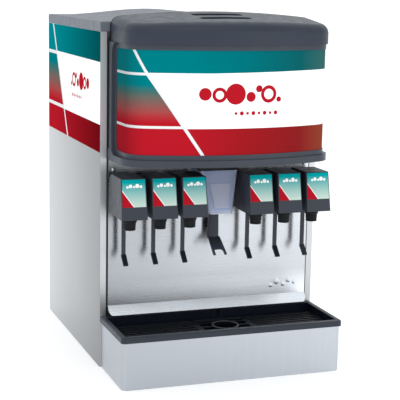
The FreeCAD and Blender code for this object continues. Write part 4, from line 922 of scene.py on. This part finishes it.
def splash_emboss(material):
    """A plain embossed row of bubbles low on the right of the splash panel."""
    front = SPLASH_LOW.y + TOE_REACH
    dome = 1.0 * MM
    steps = 40
    # (x, z, radius) in mm
    spots = [(166, 177, 5.5), (182, 187, 8.5), (200, 179, 6.0), (215, 189, 7.5), (231, 182, 5.5)]
    shape = bmesh.new()
    for x, z, radius in spots:
        rings = []
        for share in (1.0, 0.86, 0.66, 0.4):    # of the radius, from the foot of the dome up
            rise = dome * math.sqrt(1 - share * share)
            ring = []
            for i in range(steps):
                turn = 2 * math.pi * i / steps
                spot_x = (x + radius * share * math.cos(turn)) * MM
                spot_z = (z + radius * share * math.sin(turn)) * MM
                ring.append(shape.verts.new((spot_x, front - rise, spot_z)))
            rings.append(ring)
        bridge(shape, rings)
        shape.faces.new(rings[-1])
    mesh = finished_mesh("splash_emboss", shape)
    piece("splash_emboss", mesh, "cabinet", material)


def chute_lip(material):
    """Rounded bead round the chute's mouth."""
    mouth_low, mouth_high = level_box("ice_chute", CHUTE_LOW.z - MM, CHUTE_LOW.z + MM)
    corner = 8 * MM
    # (growth, height) of the bead, in mm, from its foot inside the mouth up round its outside
    bead = [(-2.3, 0.0), (0.2, 0.0), (1.3, 0.6), (1.6, 2.0), (1.4, 3.6), (0.5, 4.6), (-0.4, 5.0)]
    shape = bmesh.new()
    rings = []
    for growth, height in bead:
        reach = growth * MM
        y = (mouth_low.y - reach, mouth_high.y + reach)
        outline = rounded_outline(mouth_high.x + reach, y, corner + reach, CHUTE_LOW.z + height * MM)
        rings.append([shape.verts.new(p) for p in outline])
    bridge(shape, rings)
    mesh = finished_mesh("chute_lip", shape)
    piece("chute_lip", mesh, "cabinet", material)


def chute_panel():
    """Raised panel on the chute's sloping front."""
    mouth_y = level_box("ice_chute", CHUTE_LOW.z - MM, CHUTE_LOW.z + MM)[0].y
    brim_y = level_box("ice_chute", CHUTE_HIGH.z - MM, CHUTE_HIGH.z + MM)[0].y
    slope = (brim_y - mouth_y) / (CHUTE_HIGH.z - CHUTE_LOW.z)
    # half width, height above the mouth and the way inwards, in mm
    foot, head = (17.5, 14.0, 1), (27.0, 72.0, -1)
    shape = bmesh.new()
    rings = []
    for inset, rise in ((0.0, -0.3), (0.0, 0.5), (0.5, 1.0)):
        ring = []
        for side, (half, up, inward) in ((-1, foot), (1, foot), (1, head), (-1, head)):
            z = CHUTE_LOW.z + (up + inward * inset) * MM
            y = mouth_y + slope * (z - CHUTE_LOW.z) - rise * MM
            ring.append(shape.verts.new((side * (half - inset) * MM, y, z)))
        rings.append(ring)
    bridge(shape, rings)
    shape.faces.new(rings[0])
    shape.faces.new(rings[-1])
    mesh = finished_mesh("chute_panel", shape, False)
    piece("chute_panel", mesh, "cabinet", clear_panel())


# ---- stage ----
def studio_floor():
    """A broad pale floor at counter height."""
    half = 90.0
    shape = bmesh.new()
    bmesh.ops.create_grid(shape, x_segments=24, y_segments=24, size=half)
    mesh = finished_mesh("studio_floor", shape, False)
    mesh.materials.append(floor_white())
    made = bpy.data.objects.new("studio_floor", mesh)
    bpy.context.scene.collection.objects.link(made)


def area_light(name, place, target, size, power):
    light = bpy.data.lights.new(name, "AREA")
    light.shape = "RECTANGLE"
    light.size, light.size_y = size
    light.energy = power
    made = bpy.data.objects.new(name, light)
    made.location = place
    made.rotation_euler = (Vector(target) - Vector(place)).to_track_quat("-Z", "Y").to_euler()
    bpy.context.scene.collection.objects.link(made)


def studio_world():
    """A pale room: bright overhead and to the rear left, greyer towards the front."""
    world = bpy.data.worlds.new("studio")
    bpy.context.scene.world = world
    world.use_nodes = True
    tree = world.node_tree
    background = tree.nodes["Background"]
    direction = tree.nodes.new("ShaderNodeTexCoord").outputs["Generated"]
    parts = tree.nodes.new("ShaderNodeSeparateXYZ")
    tree.links.new(direction, parts.inputs[0])
    # what each axis adds to the strength, at its low and at its high end
    ends = ((X, 0.14, -0.1), (Y, -0.16, 0.14), (Z, 0.68, 1.02))
    strength = None
    for axis, low, high in ends:
        share = tree.nodes.new("ShaderNodeMapRange")
        for key, value in {"From Min": -1.0, "From Max": 1.0, "To Min": low, "To Max": high}.items():
            share.inputs[key].default_value = value
        tree.links.new(parts.outputs[axis], share.inputs["Value"])
        if strength is None:
            strength = share.outputs[0]
            continue
        total = tree.nodes.new("ShaderNodeMath")
        tree.links.new(strength, total.inputs[0])
        tree.links.new(share.outputs[0], total.inputs[1])
        strength = total.outputs[0]
    background.inputs["Color"].default_value = (*srgb(252, 254, 255), 1)
    tree.links.new(strength, background.inputs["Strength"])


def studio_lights():
    """Soft boxes above in front, overhead and on the right: place, target, size and power in watts."""
    bpy.context.scene.view_settings.view_transform = "Standard"
    middle = (0, 0, 0.45)
    area_light("key_light", (-0.3, -2.5, 2.6), middle, (1.8, 1.4), 7)
    area_light("top_light", (0.2, 0.3, 2.6), middle, (2.0, 2.0), 6)
    area_light("right_light", (1.15, -1.9, 0.5), (0.2, -0.2, 0.25), (1.0, 1.5), 3.6)


def camera():
    """Three-quarter view from the left, a little above the valves."""
    place = Vector((-1.01279, FRONT_Y - 2.76416, 0.93469))
    yaw, pitch, roll = (math.radians(angle) for angle in (19.64, 10.25, 1.08))
    run = math.cos(pitch)
    forward = Vector((math.sin(yaw) * run, math.cos(yaw) * run, -math.sin(pitch)))
    level = Vector((math.cos(yaw), -math.sin(yaw), 0))
    upright = level.cross(forward)
    right = level * math.cos(roll) + upright * math.sin(roll)
    up = upright * math.cos(roll) - level * math.sin(roll)
    turned = Matrix((right, up, -forward)).transposed().to_4x4()
    data = bpy.data.cameras.new("camera")
    data.sensor_width = 36.0
    data.lens = 109.37
    data.clip_end = 400.0
    made = bpy.data.objects.new("camera", data)
    made.matrix_world = Matrix.Translation(place) @ turned
    bpy.context.scene.collection.objects.link(made)
    bpy.context.scene.camera = made


camera()
studio_world()
studio_lights()
studio_floor()
materials = dress_cad_nodes()
side_graphics(side_graphic())
flavour_cards()
fluted_nozzles(materials["black_plastic"])
cup_ring_bead()
splash_emboss(splash_steel())
chute_lip(materials["clear_plastic"])
chute_panel()
